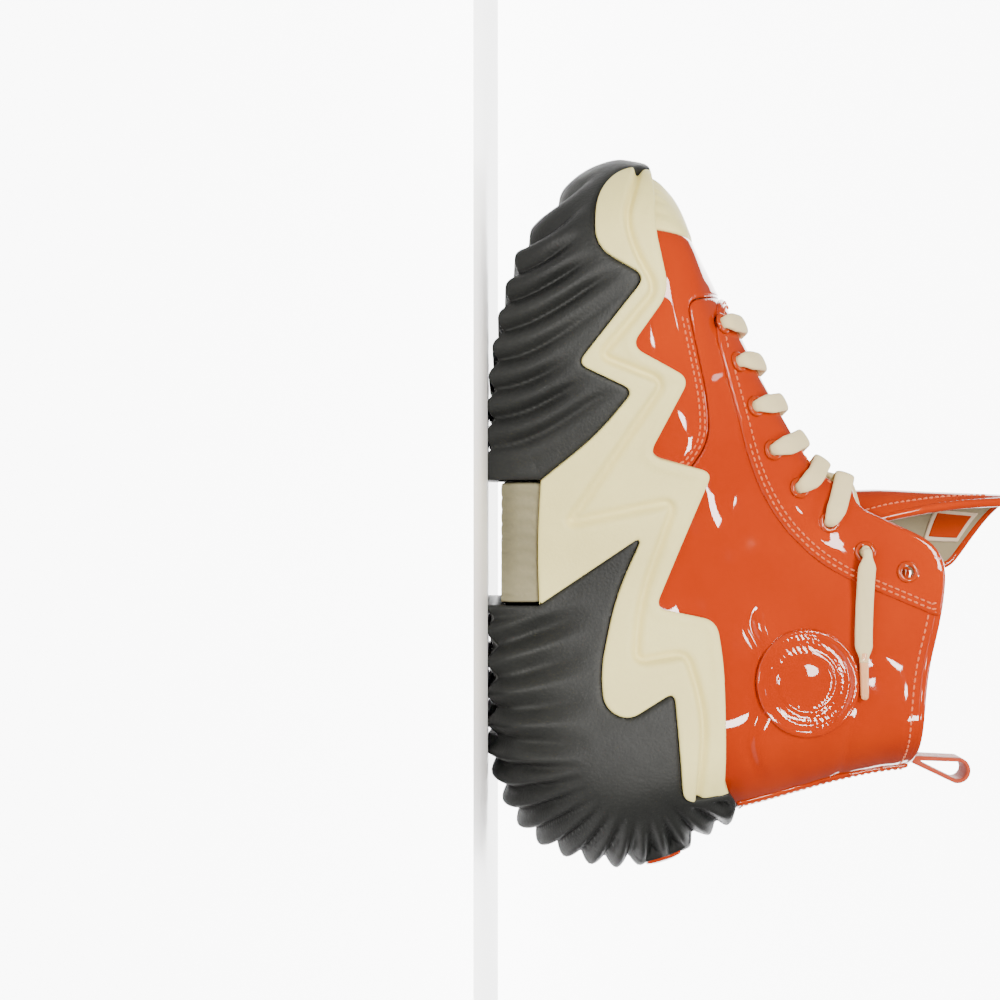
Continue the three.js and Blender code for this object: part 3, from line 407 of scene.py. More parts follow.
def wrapped_faces(rows, around):
    """Triangles over a grid whose rows run all the way round."""
    j, i = np.meshgrid(np.arange(rows - 1), np.arange(around), indexing="ij")
    here, right = (j * around + i).ravel(), (j * around + (i + 1) % around).ravel()
    low, high = [here, right, here + around], [right, right + around, here + around]
    faces = np.concatenate([np.stack(low, 1), np.stack(high, 1)])
    return faces


def point_normals(points, faces):
    """The direction in which the skin faces, at each point."""
    a, b, c = (points[faces[:, k]] for k in range(3))
    area = np.cross(b - a, c - a)
    total = np.zeros_like(points)
    for k in range(3):
        np.add.at(total, faces[:, k], area)
    return unit(total)


def facing_out(points, faces, middle):
    """The faces and point normals, turned to look away from the shoe's middle."""
    normals = point_normals(points, faces)
    if ((points - middle) * normals).sum(1).mean() < 0:
        return faces[:, ::-1], -normals
    return faces, normals


UPPER_ROWS = softened(skin_rows(UPPER_LEVELS, 460, 150), 3)
UPPER_POINTS = UPPER_ROWS.reshape(-1, 3)
UPPER_FACES, UPPER_NORMALS = facing_out(UPPER_POINTS, wrapped_faces(*UPPER_ROWS.shape[:2]), [80, 0, 100])
print("upper skin:", len(UPPER_POINTS), "points")

# %% [markdown]
# The sole's skin runs on under the shoe. Its lowest loop is joined to the shoe's middle line by rungs, so that one
# surface carries both the ridged side walls and the tread.
# %% The sole's skin with its tread
def across_from(around):
    """For each point of a loop, the number of the point across the shoe from it."""
    return (around - np.arange(around)) % around


def open_faces(faces):
    """Leaves out the triangles that have shut, with the same point twice."""
    a, b, c = faces.T
    return faces[(a != b) & (b != c) & (a != c)]


def sole_surface(around=760, up=120, rungs=26):
    """The skin of the sole's sides and tread: its points, the directions out of it and its triangles."""
    side_rows = softened(skin_rows(SOLE_LEVELS, around, up), 3)
    low = side_rows[0]
    partner = across_from(around)
    centre = 0.5 * (low + low[partner])
    share = (np.arange(rungs, 0, -1) / rungs)[:, None, None]
    bottom = low[None] + (centre - low)[None] * share
    rows = np.concatenate([bottom, side_rows])
    points = rows.reshape(-1, 3)
    faces = wrapped_faces(*rows.shape[:2])
    index = np.arange(len(points))
    index[:around] = np.minimum(np.arange(around), partner)
    faces, normals = facing_out(points, open_faces(index[faces]), [80, 0, 60])
    for _ in range(2):
        grid = normals.reshape(rows.shape)
        normals = unit(softened(grid, 1)).reshape(-1, 3)
    return points, normals, faces


SOLE_POINTS, SOLE_NORMALS, SOLE_FACES = sole_surface()
print("sole skin:", len(SOLE_POINTS), "points")

# %% [markdown]
# ## Cutting panels
# Leather pieces are cut from a pattern. Here a pattern is a field: at each point of the skin, how many millimetres
# lie between it and the pattern's edge, more than zero inside. The skin is split along the edge, lifted to its
# height, rounded over at the edge, and closed with an inner face and a narrow rim, as real cut leather is.
# %% Pattern fields
def outline(corners, steps=6):
    """Corners x, z, radius to a closed outline with rounded corners."""
    xz = np.array([c[:2] for c in corners], float)
    made = []
    for i, (x, z, radius) in enumerate(corners):
        before, after = xz[i - 1], xz[(i + 1) % len(corners)]
        to_before, to_after = np.linalg.norm(before - xz[i]), np.linalg.norm(after - xz[i])
        reach = min(radius, to_before / 2, to_after / 2)
        start = xz[i] + (before - xz[i]) * reach / to_before
        end = xz[i] + (after - xz[i]) * reach / to_after
        t = np.linspace(0, 1, steps + 1)[:, None] if radius > 0 else np.zeros((1, 1))
        made.append((1 - t) ** 2 * start + 2 * t * (1 - t) * xz[i] + t ** 2 * end)
    return np.concatenate(made)


def inside_distance(corners, points):
    """Distance to an outline in side view, more than zero inside it."""
    edge = outline(corners)
    p = points[:, [0, 2]]
    best = np.full(len(p), 1e9)
    crossings = np.zeros(len(p), int)
    for a, b in zip(edge, np.roll(edge, -1, axis=0)):
        if np.allclose(a, b):
            continue
        along = b - a
        t = np.clip(((p - a) @ along) / (along @ along), 0, 1)
        best = np.minimum(best, np.linalg.norm(p - (a + t[:, None] * along), axis=1))
        if a[1] != b[1]:
            hit = ((a[1] > p[:, 1]) != (b[1] > p[:, 1]))
            hit &= p[:, 0] < (b[0] - a[0]) * (p[:, 1] - a[1]) / (b[1] - a[1]) + a[0]
            crossings += hit
    return np.where(crossings % 2 == 1, best, -best)


SLOT_X, SLOT_Z, SLOT_HALF = 169, 95, 17


def throat_distance(points):
    """Distance to the lace slot, more than zero inside it. The slot runs up and back at 45 degrees and widens."""
    up = np.array([-1, 0, 1]) / math.sqrt(2)
    out = np.array([1, 0, 1]) / math.sqrt(2)
    start = np.array([SLOT_X, float(swing(SLOT_X)), SLOT_Z]) + up * SLOT_HALF - out * 28
    local = points - start
    along, across, high = local @ up, np.abs(local[:, 1]), local @ out
    half = SLOT_HALF + 7 * np.clip(along / 150, 0, 1.2)
    straight = half - across
    ends = SLOT_HALF - np.hypot(along, across)
    field = np.where(along > 0, straight, ends)
    return np.where(high > -4, field, np.minimum(field, high + 4))


def true_distance(points, faces, field):
    """A side-view field turned into millimetres along the skin itself."""
    a, b, c = (points[faces[:, k]] for k in range(3))
    e, f = b - a, c - a
    fe, ff = field[faces[:, 1]] - field[faces[:, 0]], field[faces[:, 2]] - field[faces[:, 0]]
    ee, ef, gg = (e * e).sum(1), (e * f).sum(1), (f * f).sum(1)
    det = np.maximum(ee * gg - ef * ef, 1e-9)
    slope = (((gg * fe - ef * ff) / det)[:, None] * e + ((ee * ff - ef * fe) / det)[:, None] * f)
    steep = np.linalg.norm(slope, axis=1)
    total, weight = np.zeros(len(points)), np.zeros(len(points))
    for k in range(3):
        np.add.at(total, faces[:, k], steep)
        np.add.at(weight, faces[:, k], 1)
    return field / np.clip(total / np.maximum(weight, 1), 0.35, 1.0)


# %% Splitting a skin along a field
def crossings(faces, value):
    """The faces that value 0 crosses. Gives their corners with the lone one first, the crossed edges, the two edges
    of each face, and how far along its edge each crossing lies."""
    above = value > 0
    count = above[faces].sum(1)
    mixed = faces[(count == 1) | (count == 2)]
    lone_above = above[mixed].sum(1) == 1
    lone = np.where(lone_above[:, None], above[mixed], ~above[mixed]).argmax(1)
    row = np.arange(len(mixed))
    a, b, c = (mixed[row, (lone + k) % 3] for k in range(3))
    pairs = np.sort(np.concatenate([np.stack([a, b], 1), np.stack([a, c], 1)]), axis=1)
    edges, which = np.unique(pairs, axis=0, return_inverse=True)
    which = which.reshape(2, -1)
    low, high = value[edges[:, 0]], value[edges[:, 1]]
    return (a, b, c), edges, which, (low / (low - high))[:, None]


def split_skin(data, faces, field, level):
    """Every face that crosses the level is cut in three there. data is one row of values per point."""
    value = field - level
    value = np.where(np.abs(value) < 0.02, 0.02, value)
    (a, b, c), edges, which, t = crossings(faces, value)
    fresh = data[edges[:, 0]] * (1 - t) + data[edges[:, 1]] * t
    fresh_field = np.full(len(edges), float(level))
    ab, ac = len(data) + which
    cut = np.concatenate([np.stack([a, ab, ac], 1), np.stack([ab, b, c], 1), np.stack([ab, c, ac], 1)])
    count = (value > 0)[faces].sum(1)
    whole = faces[(count == 0) | (count == 3)]
    return np.concatenate([data, fresh]), np.concatenate([whole, cut]), np.concatenate([field, fresh_field])


def edge_drop(field, radius, depth):
    """How far a rounded edge lies below the panel's face, at a distance from the edge."""
    t = np.clip(field / radius, 0, 1)
    return depth * (1 - np.sqrt(np.clip(1 - (1 - t) ** 2, 0, 1)))


def panel(name, skin, field, top, under, finish, radius=1.2, depth=None, relief=None, inner=None,
          levels=(0.0, 0.15, 0.45)):
    """A closed piece cut from a skin: its outer face, an inner face and the rim between them."""
    points, normals, faces = skin
    near = (field[faces] > -0.5).any(1)
    faces = faces[near]
    data = np.concatenate([points, normals], axis=1)
    for share in levels:
        data, faces, field = split_skin(data, faces, field, share * radius)
    faces = faces[field[faces].min(1) >= -1e-6]
    used, faces = np.unique(faces, return_inverse=True)
    faces = faces.reshape(-1, 3)
    data, field = data[used], field[used]
    points, normals = data[:, :3], unit(data[:, 3:6])
    depth = min(radius, (top - under) * 0.8) if depth is None else depth
    height = top - edge_drop(field, radius, depth)
    if relief is not None:
        height = height + relief(points, normals, field)
    outer = points + normals * height[:, None]
    back = points + normals * under if inner is None else inner(points, normals, field)
    count = len(points)
    edges = np.concatenate([faces[:, [0, 1]], faces[:, [1, 2]], faces[:, [2, 0]]])
    key = np.sort(edges, axis=1)
    _, first, times = np.unique(key, axis=0, return_index=True, return_counts=True)
    rim = edges[first[times == 1]]
    skirt = np.concatenate([
        np.stack([rim[:, 1], rim[:, 0], rim[:, 0] + count], 1),
        np.stack([rim[:, 1], rim[:, 0] + count, rim[:, 1] + count], 1),
    ])
    everything = np.concatenate([faces, faces[:, ::-1] + count, skirt])
    return new_piece(name, np.concatenate([outer, back]), everything, finish)


def contour(skin, field, level):
    """Chains of points and normals where a field has a given value."""
    points, normals, faces = skin
    value = field - level
    _, edges, which, t = crossings(faces, np.where(np.abs(value) < 1e-4, 1e-4, value))
    at = points[edges[:, 0]] * (1 - t) + points[edges[:, 1]] * t
    out = unit(normals[edges[:, 0]] * (1 - t) + normals[edges[:, 1]] * t)
    links = {}
    for p, q in which.T:
        links.setdefault(int(p), []).append(int(q))
        links.setdefault(int(q), []).append(int(p))
    chains, seen = [], set()
    for start in sorted(links, key=lambda k: len(links[k])):
        if start in seen:
            continue
        chain, here = [start], start
        seen.add(start)
        while True:
            onward = [k for k in links[here] if k not in seen]
            if not onward:
                break
            here = onward[0]
            seen.add(here)
            chain.append(here)
        chains.append((at[chain], out[chain]))
    return chains


def resampled(line, out, spacing):
    """The same line and directions at points that lie evenly along it."""
    run = np.concatenate([[0], np.cumsum(np.linalg.norm(np.diff(line, axis=0), axis=1))])
    count = max(2, int(round(run[-1] / spacing)))
    want = np.linspace(0, run[-1], count + 1)

    def pick(values):
        return np.stack([np.interp(want, run, values[:, k]) for k in range(values.shape[1])], 1)

    return pick(line), unit(pick(out))


def eased(line, rounds, after=lambda values: values):
    """A line with its kinks evened out; its two ends stay."""
    for _ in range(rounds):
        line[1:-1] = after(0.5 * line[1:-1] + 0.25 * (line[:-2] + line[2:]))
    return line


def raised(chains, height, test):
    """The stretches of chains that pass the test, lifted off the skin."""
    kept = []
    for line, outs in chains:
        line = line + outs * height
        good = test(line)
        starts = np.flatnonzero(np.diff(np.concatenate([[False], good, [False]]).astype(int)))
        for a, b in zip(starts[::2], starts[1::2]):
            if b - a > 5:
                kept.append((line[a:b], outs[a:b]))
    return kept


UPPER = (UPPER_POINTS, UPPER_NORMALS, UPPER_FACES)
SOLE = (SOLE_POINTS, SOLE_NORMALS, SOLE_FACES)


def upper_field(corners):
    """A pattern on the upper."""
    return true_distance(UPPER_POINTS, UPPER_FACES, inside_distance(corners, UPPER_POINTS))


def sole_field(corners):
    """A pattern on the sole."""
    return inside_distance(corners, SOLE_POINTS)


collar = upper_field(COLLAR_EDGE)
throat = true_distance(UPPER_POINTS, UPPER_FACES, throat_distance(UPPER_POINTS))
toe = upper_field(TOE_CAP_EDGE)
vamp = upper_field(VAMP_EDGE)
stay = upper_field(EYESTAY_EDGE)


def on_upper(x, z, sign):
    """The place on the upper at a side-view position, and the direction out of it."""
    hit = np.flatnonzero((UPPER_NORMALS[:, 1] * sign > 0) & (UPPER_POINTS[:, 1] * sign > 0))
    away = np.hypot(UPPER_POINTS[hit, 0] - x, UPPER_POINTS[hit, 2] - z)
    near = hit[np.argsort(away)[:6]]
    weight = 1 / (np.sort(away)[:6] + 0.05)
    place = (UPPER_POINTS[near] * weight[:, None]).sum(0) / weight.sum()
    out = unit((UPPER_NORMALS[near] * weight[:, None]).sum(0))
    place[0], place[2] = x, z
    return place, out


sites = {(sign, order): on_upper(x, z, sign) for sign in (1, -1) for order, (x, z) in enumerate(EYELETS)}
holes = np.full(len(UPPER_POINTS), 50.0)
for place, out in sites.values():
    local = UPPER_POINTS - place
    off_axis = np.linalg.norm(local - (local @ out)[:, None] * out, axis=1)
    holes = np.where(np.abs(local @ out) < 12, np.minimum(holes, off_axis - 2.9), holes)
keep = np.minimum(np.minimum(-collar, -throat), holes)
print("fields ready; collar", round(float(collar.max()), 1), "throat", round(float(throat.max()), 1))

# %% [markdown]
# ## Leather panels of the upper
# The vamp lies over the toe, a quarter closes each side, and the eyestays lie on top along the lacing. Patent is
# stiff and creases where the foot bends: a shallow crease runs round the ankle, and the panels swell a little
# between their seams.
# %% Creases and swelling
def bump_at(x, centre, width):
    """A smooth hump of height 1."""
    return np.exp(-((x - centre) / width) ** 2)


def patent_relief(points, normals, field):
    """Creases at the ankle and the toes' bend, and a slight swelling between seams."""
    x, z = points[:, 0], points[:, 2]
    swell = 0.35 * smoothstep(field, 0.5, 7)
    wander = 2.2 * np.sin(x * 0.11) + 1.1 * np.sin(x * 0.27 + 1.7)
    ankle = smoothstep(x, -30, -18) * (1 - smoothstep(x, 36, 50))
    crease = -0.75 * bump_at(z, 109 + wander, 2.4) * ankle
    pillow = 0.5 * bump_at(z, 114 + wander, 4) * ankle
    upper = -0.5 * bump_at(z, 150 + 0.12 * x + 0.5 * wander, 2.6) * (1 - smoothstep(x, -2, 14))
    waves = 0.16 * np.sin(x * 0.21 + z * 0.13) * np.sin(z * 0.31 - x * 0.05) * smoothstep(field, 1, 8)
    flex = -0.5 * (bump_at(x - 0.45 * z, 92, 3.2) + 0.7 * bump_at(x - 0.5 * z, 104, 2.6)) * smoothstep(z, 78, 96)
    flex = flex * (1 - smoothstep(z, 104, 112)) * smoothstep(field, 0.5, 6)
    return swell + crease + pillow + upper + waves + flex


def toe_relief(points, normals, field):
    """Short ribs along the toe cap's lower edge."""
    x, y, z = points.T
    angle = np.arctan2(y - 4, x - 190)
    ribs = np.abs(np.sin(angle * 17))
    band = smoothstep(field, 1.2, 2.6) * (1 - smoothstep(z, 70, 74))
    return 0.55 * band * (ribs - 0.5) + 0.3 * smoothstep(field, 0.5, 3)


SEAM_GAP = 0.3
quarter_field = np.minimum(np.minimum(-vamp, -toe) - SEAM_GAP, keep)
halves = {"medial": UPPER_POINTS[:, 1] - 0.15, "lateral": -UPPER_POINTS[:, 1] - 0.15}
made = []
vamp_field = np.minimum(np.minimum(vamp, -toe - SEAM_GAP), keep)
vamp_piece = panel("vamp_leather", UPPER, vamp_field, WALL_OUT + 0.25, WALL_IN, PATENT, relief=patent_relief)
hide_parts("vamp")
cap_piece = panel("toe_cap_rubber", UPPER, np.minimum(toe, keep), WALL_OUT + 0.2, WALL_IN, CREAM,
                  relief=toe_relief)
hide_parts("toe_cap")
for side_name, half in halves.items():
    quarter = panel(f"quarter_leather_{side_name}", UPPER, np.minimum(quarter_field, half), WALL_OUT, WALL_IN, PATENT,
                    relief=patent_relief, radius=0.9)
    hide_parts(f"quarter_{side_name}")
    overlay = panel(f"eyestay_leather_{side_name}", UPPER, np.minimum(np.minimum(stay, keep), half), OVERLAY_OUT,
                    WALL_OUT - 0.3, PATENT, relief=lambda p, n, f: 0.2 * smoothstep(f, 3.2, 9),
                    radius=1.1)
    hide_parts(f"eyestay_{side_name}")
    made += [quarter, overlay]
print("panels:", [(piece.name, len(piece.data.polygons)) for piece in made])

# %% [markdown]
# ## Heel strip and ankle badge
# A strip up the back covers the seam that joins the two quarters. The badge is a moulded disc with a raised rim; its
# face carries only a plain ring and a circle of beads, as a mark of no particular maker.
# %% Heel strip and badge
strip_field = np.minimum(12 - np.abs(UPPER_POINTS[:, 1]), UPPER_POINTS[:, 2] - 104)
strip_field = np.where(UPPER_POINTS[:, 0] < 10, np.minimum(strip_field, -collar), -20)
strip = panel("heel_strip_leather", UPPER, strip_field, OVERLAY_OUT, WALL_OUT - 0.3, PATENT)
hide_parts("heel_strip")

BADGE_AT, BADGE_RADIUS = (11.7, 130), 21.5
badge_away = np.hypot(UPPER_POINTS[:, 0] - BADGE_AT[0], UPPER_POINTS[:, 2] - BADGE_AT[1])
badge_field = np.where(UPPER_POINTS[:, 1] > 0, BADGE_RADIUS - badge_away, -20)


def badge_relief(points, normals, field):
    """A sunk face with a ring of beads, a plain ring and a low dome."""
    away = np.hypot(points[:, 0] - BADGE_AT[0], points[:, 2] - BADGE_AT[1])
    turn = np.arctan2(points[:, 2] - BADGE_AT[1], points[:, 0] - BADGE_AT[0])
    face = -0.8 * (1 - smoothstep(away, 17.6, 18.8))
    beads = 0.3 * bump_at(away, 15.2, 0.9) * (0.5 + 0.5 * np.cos(turn * 40)) ** 0.7
    ring = 0.45 * smoothstep(away, 10.2, 11) * (1 - smoothstep(away, 12.2, 13))
    dome = 0.5 * (1 - smoothstep(away, 0, 8.5))
    return face + beads + ring + dome


badge = panel("badge_moulding", UPPER, badge_field, OVERLAY_OUT + 0.5, WALL_OUT - 0.3, PATENT, radius=0.8,
              relief=badge_relief, levels=(0.0, 0.3, 1.0))
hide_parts("ankle_badge")
print("badge faces:", len(badge.data.polygons))

# %% [markdown]
# ## Lining and collar
# Cloth lines the inside. At the top the patent is rolled over the padding, which makes the thick soft collar.
# %% Lining and the rolled collar
def ring_quads(rings, sides, closed=False):
    """Quads from each ring of points to the next, and on to the first one again where closed."""
    faces = []
    for j in range(rings if closed else rings - 1):
        for k in range(sides):
            onward, beside = (j + 1) % rings, (k + 1) % sides
            faces.append((j * sides + k, onward * sides + k, onward * sides + beside, j * sides + beside))
    return faces


def end_caps(rings, sides):
    """The two faces that close a row of rings."""
    last = (rings - 1) * sides
    return [tuple(range(sides)), tuple(range(last, last + sides))[::-1]]


def tube(name, line, outs, wide, thick, finish, sides=14, body="root"):
    """A tube with closed ends and an oval section: wide lies along the surface, thick stands out from it."""
    line = np.asarray(line, float)
    along = unit(np.gradient(line, axis=0))
    outs = unit(outs - (outs * along).sum(1, keepdims=True) * along)
    across = np.cross(along, outs)
    wide = np.broadcast_to(wide, len(line))[:, None]
    thick = np.broadcast_to(thick, len(line))[:, None]
    rings = []
    for k in range(sides):
        turn = 2 * math.pi * k / sides
        flat, high = (math.copysign(abs(v) ** 0.8, v) for v in (math.cos(turn), math.sin(turn)))
        rings.append(line + across * wide * flat + outs * thick * high)
    points = np.stack(rings, 1).reshape(-1, 3)
    faces = ring_quads(len(line), sides) + end_caps(len(line), sides)
    return new_piece(name, points, faces, finish, body)


lining_field = np.minimum(keep, -stay - 1.5)
lining_piece = panel("lining_cloth", UPPER, lining_field, -3.2, -4.8, CANVAS, radius=0.4,
                     relief=lambda p, n, f: 0.2 * np.sin(p[:, 0] * 0.3) * np.sin(p[:, 2] * 0.23))
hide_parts("lining")
for side_name, half in halves.items():
    panel(f"eyestay_backing_{side_name}", UPPER, np.minimum(np.minimum(stay + 1.2, keep), half), -1.75, -2.35,
          CANVAS, radius=0.3)

collar_runs = raised(contour(UPPER, np.where(throat < -0.5, collar, -50.0), -1.0), 0.0,
                     lambda p: (np.abs(inside_distance(COLLAR_EDGE, p) + 1) < 0.8) & (p[:, 0] < 84))
collar_line, collar_out = max(collar_runs, key=lambda one: len(one[0]))
collar_line, collar_out = resampled(collar_line, collar_out, 1.6)
collar_line, collar_out = eased(collar_line, 6), eased(collar_out, 6, unit)
print("collar line:", len(collar_line), collar_line[0].round(1), collar_line[-1].round(1))
collar_roll = tube("collar_roll", collar_line + collar_out * -1.5, collar_out, 2.2, 3.35, PATENT, 18)

# %% [markdown]
# ## Stitches
# Each seam is sewn with a row or two of heavy thread. A stitch is a short bead that sinks into the leather at both
# ends, and a row of them is one piece.
# %% Rows of stitches
STITCH, THREAD_RADIUS, STITCH_SIDES = 2.1, 0.42, 6


def stitch_row(name, chains, length=STITCH, radius=THREAD_RADIUS, body="root"):
    """One bead per stitch along chains of points; the stations say how fat and how high a bead is on its way."""
    turns = [2 * math.pi * k / STITCH_SIDES for k in range(STITCH_SIDES)]
    stations = [(-0.5, 0.25, -0.7), (-0.36, 0.85, -0.1), (0, 1, 0.15), (0.36, 0.85, -0.1), (0.5, 0.25, -0.7)]
    bead = [face[::-1] for face in ring_quads(len(stations), STITCH_SIDES) + end_caps(len(stations), STITCH_SIDES)]
    points, faces = [], []
    for line, outs in chains:
        line, outs = resampled(line, outs, length * 1.32)
        for a, b, out in zip(line[:-1], line[1:], outs[:-1]):
            along = unit(b - a)
            centre = (a + b) / 2
            across = np.cross(out, along)
            start = len(points)
            for s, fat, high in stations:
                for turn in turns:
                    lift = out * (radius * fat * math.sin(turn) + radius * high)
                    points.append(centre + along * s * length + across * radius * fat * math.cos(turn) + lift)
            faces += [tuple(start + k for k in face) for face in bead]
    return new_piece(name, points, faces, THREAD, body)


def beside(corners, level, slack):
    """A test for points that really run beside an outline, at a distance of level inside it."""
    return lambda p: np.abs(inside_distance(corners, p) - level) < slack


def seam(name, where, field, level, height, test, length=STITCH):
    """Stitches along a field's contour, on the part of the upper that where picks."""
    stitch_row(name, raised(contour(UPPER, np.where(where, field, -40.0), level), height, test), length)


seam("eyestay_stitches_outer", keep > 1.5, stay, 1.9, OVERLAY_OUT + 0.1, beside(EYESTAY_EDGE, 1.9, 0.9))
seam("eyestay_stitches_inner", keep > 1.5, stay, 3.9, OVERLAY_OUT + 0.25, beside(EYESTAY_EDGE, 3.9, 1.4))
for row_name, level in (("outer", 1.8), ("inner", 3.6)):
    seam(f"vamp_stitches_{row_name}", (keep > 1.5) & (stay < -0.5), vamp, level, WALL_OUT + 0.45,
         lambda p: beside(VAMP_EDGE, level, 1.6)(p) & (inside_distance(EYESTAY_EDGE, p) < -1) & (p[:, 0] < 160))
seam("collar_stitches", throat < -4, -collar, 4.6, WALL_OUT + 0.35, beside(COLLAR_EDGE, -4.6, 1.2), 2.2)
seam("throat_stitches", (stay > 1.5) & (collar < -2), -throat, 2.2, OVERLAY_OUT + 0.15,
     lambda p: (np.abs(throat_distance(p) + 2.2) < 1.6) & (p[:, 2] > 126))
seam("heel_strip_stitches", UPPER_POINTS[:, 0] < 10, strip_field, 2.0, OVERLAY_OUT + 0.05,
     lambda p: (np.abs(np.abs(p[:, 1]) - 10) < 1.2) | (p[:, 2] < 107))

# %% [markdown]
# ## The sole
# The outsole is black rubber moulded in sharp ridges that run up the side walls: straight and leaning under the
# forefoot, in a fan round the heel. The tall cream foam stands on it, with a moulded step that echoes the black
# edge. A grey arch piece joins the two treads.
# %% Ridges of the treads
FAN_X, FAN_Z = -17.6, 59.7
FRONT_PITCH, MIDDLE_PITCH, FAN_PITCH_DEGREES = 11.6, 12.8, 12.0
FRONT_DEPTH, REAR_DEPTH = 4.4, 5.6
PLATE_LOW, PLATE_HIGH, PLATE_HALF = 67, 81, 13


def treads(points):
    """Ridge height, -1 in a valley and 0 on a crest, over the whole sole."""
    x, y, z = points.T
    rise = 0.5 * (z - 16 + np.sqrt((z - 16) ** 2 + 200)) - 1.5
    front = (x - 0.72 * rise - 100) / FRONT_PITCH
    lean = 0.32 * smoothstep(x, -18, 40)
    middle = (x - lean * z - FAN_X) / MIDDLE_PITCH
    angle = np.degrees(np.arctan2(-(x - FAN_X), FAN_Z - z + 1e-6))
    rear = -angle / FAN_PITCH_DEGREES
    phase = np.where(x > 68, front, np.where(x > FAN_X, middle, rear))
    return np.abs(np.cos(math.pi * phase)) - 1


def front_relief(points, normals, field):
    """The forefoot's ridges, fading out below the rubber's wavy edge."""
    x, y, z = points.T
    fade = smoothstep(field, 1.0, 21) * (1 - smoothstep(x, 214, 222))
    ridges = treads(points) * FRONT_DEPTH * fade
    return ridges + 0.35 * smoothstep(field, 0.3, 2)


def rear_relief(points, normals, field):
    """The heel's ridges, with sharper valleys, fading out towards the fan's middle."""
    x, y, z = points.T
    radius = np.hypot(x - FAN_X, z - FAN_Z)
    fade = np.where(x > FAN_X, 1 - smoothstep(z, 14, 43), smoothstep(radius, 20, 47))
    sharp = -np.abs(treads(points)) ** np.where(x > FAN_X, 0.62, 0.85)
    return sharp * REAR_DEPTH * fade * smoothstep(field, 1.0, 6) + 0.35 * smoothstep(field, 0.3, 2)


def shank_relief(points, normals, field):
    """Plain ribs across the arch piece."""
    x = points[:, 0]
    return 0.8 * (np.abs(np.cos(math.pi * (x - 45) / 5.6)) - 1) * smoothstep(field, 1.0, 3)


FOAM_WALL = 8
upper_tree = BVHTree.FromPolygons(UPPER_POINTS.tolist(), UPPER_FACES.tolist())


def against_upper(points, normals, field):
    """The inner face of the foam: 8 mm in low down, against the upper's wall higher up."""
    made = []
    for point, normal in zip(points, normals):
        plain = point - normal * FOAM_WALL
        share = float(smoothstep(point[2], 52, 64))
        if share > 0:
            near, _, _, away = upper_tree.find_nearest(Vector(point))
            reach = (away - 0.4) / max(away, 1e-6)
            plain = plain * (1 - share) + (point + (np.array(near) - point) * reach) * share
        made.append(plain)
    return np.array(made)


front = sole_field(TREAD_EDGE_FRONT)
rear = sole_field(TREAD_EDGE_REAR)
arch = sole_field(SHANK_EDGE)
rim = sole_field(RIM_EDGE)
groove = sole_field(GROOVE_EDGE)
plate = np.minimum(SOLE_POINTS[:, 2] - PLATE_LOW, PLATE_HIGH - SOLE_POINTS[:, 2])
plate = np.minimum(PLATE_HALF - np.abs(SOLE_POINTS[:, 1]), plate)
plate = np.where(SOLE_POINTS[:, 0] < -40, plate, -30)


def foam_relief(points, normals, field):
    """The moulded step, the groove beside it and the lip under the foam's rim."""
    step = inside_distance(GROOVE_EDGE, points)
    raised_part = 2.0 * smoothstep(step, 0, 2.4) - 2.3 * np.exp(-((step + 0.5) / 1.5) ** 2)
    top = inside_distance(RIM_EDGE, points)
    lip = 0.4 * bump_at(top, -3.0, 1.8)
    under = 1 - smoothstep(-normals[:, 2], 0.3, 0.7)
    return (raised_part + lip) * under - 0.25


front_field = np.minimum(front, -rim - SEAM_GAP)
front_piece = panel("forefoot_tread", SOLE, front_field, 0.0, -5.0, BLACK, radius=0.8, relief=front_relief)
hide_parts("outsole_forefoot")
rear_field = np.minimum(np.minimum(rear, -rim - SEAM_GAP), -plate - SEAM_GAP)
rear_piece = panel("heel_tread_rubber", SOLE, rear_field, 0.0, -8.0, BLACK, radius=0.8, relief=rear_relief)
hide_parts("outsole_heel")
shank_piece = panel("arch_piece", SOLE, arch, -0.6, -6.0, GREY, radius=1.0, relief=shank_relief)
for piece in (front_piece, rear_piece):
    for vertex in piece.data.vertices:
        vertex.co.z = max(vertex.co.z, 0.0)
SHANK_LIFT, SHANK_FULL = 5.5, 12
for vertex in shank_piece.data.vertices:
    if vertex.co.z < SHANK_FULL * MM:
        vertex.co.z = SHANK_LIFT * MM + max(0.0, vertex.co.z) * (SHANK_FULL - SHANK_LIFT) / SHANK_FULL
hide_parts("shank")
plate_piece = panel("heel_plate_patent", SOLE, plate, 0.9, -3.4, PATENT, radius=1.0,
                    relief=lambda p, n, f: 0.3 * smoothstep(f, 1, 4))
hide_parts("heel_plate")
arch_gap = sole_field([(43.5, -20, 0), (43.5, 20.8, 0), (69, 20, 20), (94, 21.3, 0), (94, -20, 0)])
foam_field = np.minimum(np.minimum(-front, -rear), np.minimum(-arch_gap, -rim)) - 0.05
foam_piece = panel("midsole_foam", SOLE, foam_field, 0.0, -FOAM_WALL, CREAM, radius=1.2, depth=0.9, relief=foam_relief,
                   inner=against_upper)
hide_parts("midsole")
print("sole:", [len(p.data.polygons) for p in (front_piece, rear_piece, shank_piece, plate_piece, foam_piece)])

# %% [markdown]
# ## Tongue
# The tongue is a padded strip of patent, lined with cloth, with a bound edge. It is sewn in below and folds at the
# ankle.
# %% A sheet in the tongue's shape
def tongue_point(row, share):
    """A point of one row across the tongue, share running from its outer edge to its inner one."""
    (x0, z), half, depth, medial, lateral, drop = row
    angle = np.radians(-lateral + (medial + lateral) * share)
    x = x0 - depth * (1 - np.cos(angle))
    return np.stack([x, half * np.sin(angle) + float(swing(x0)), z - drop * (1 - np.asarray(share)) ** 2], -1)


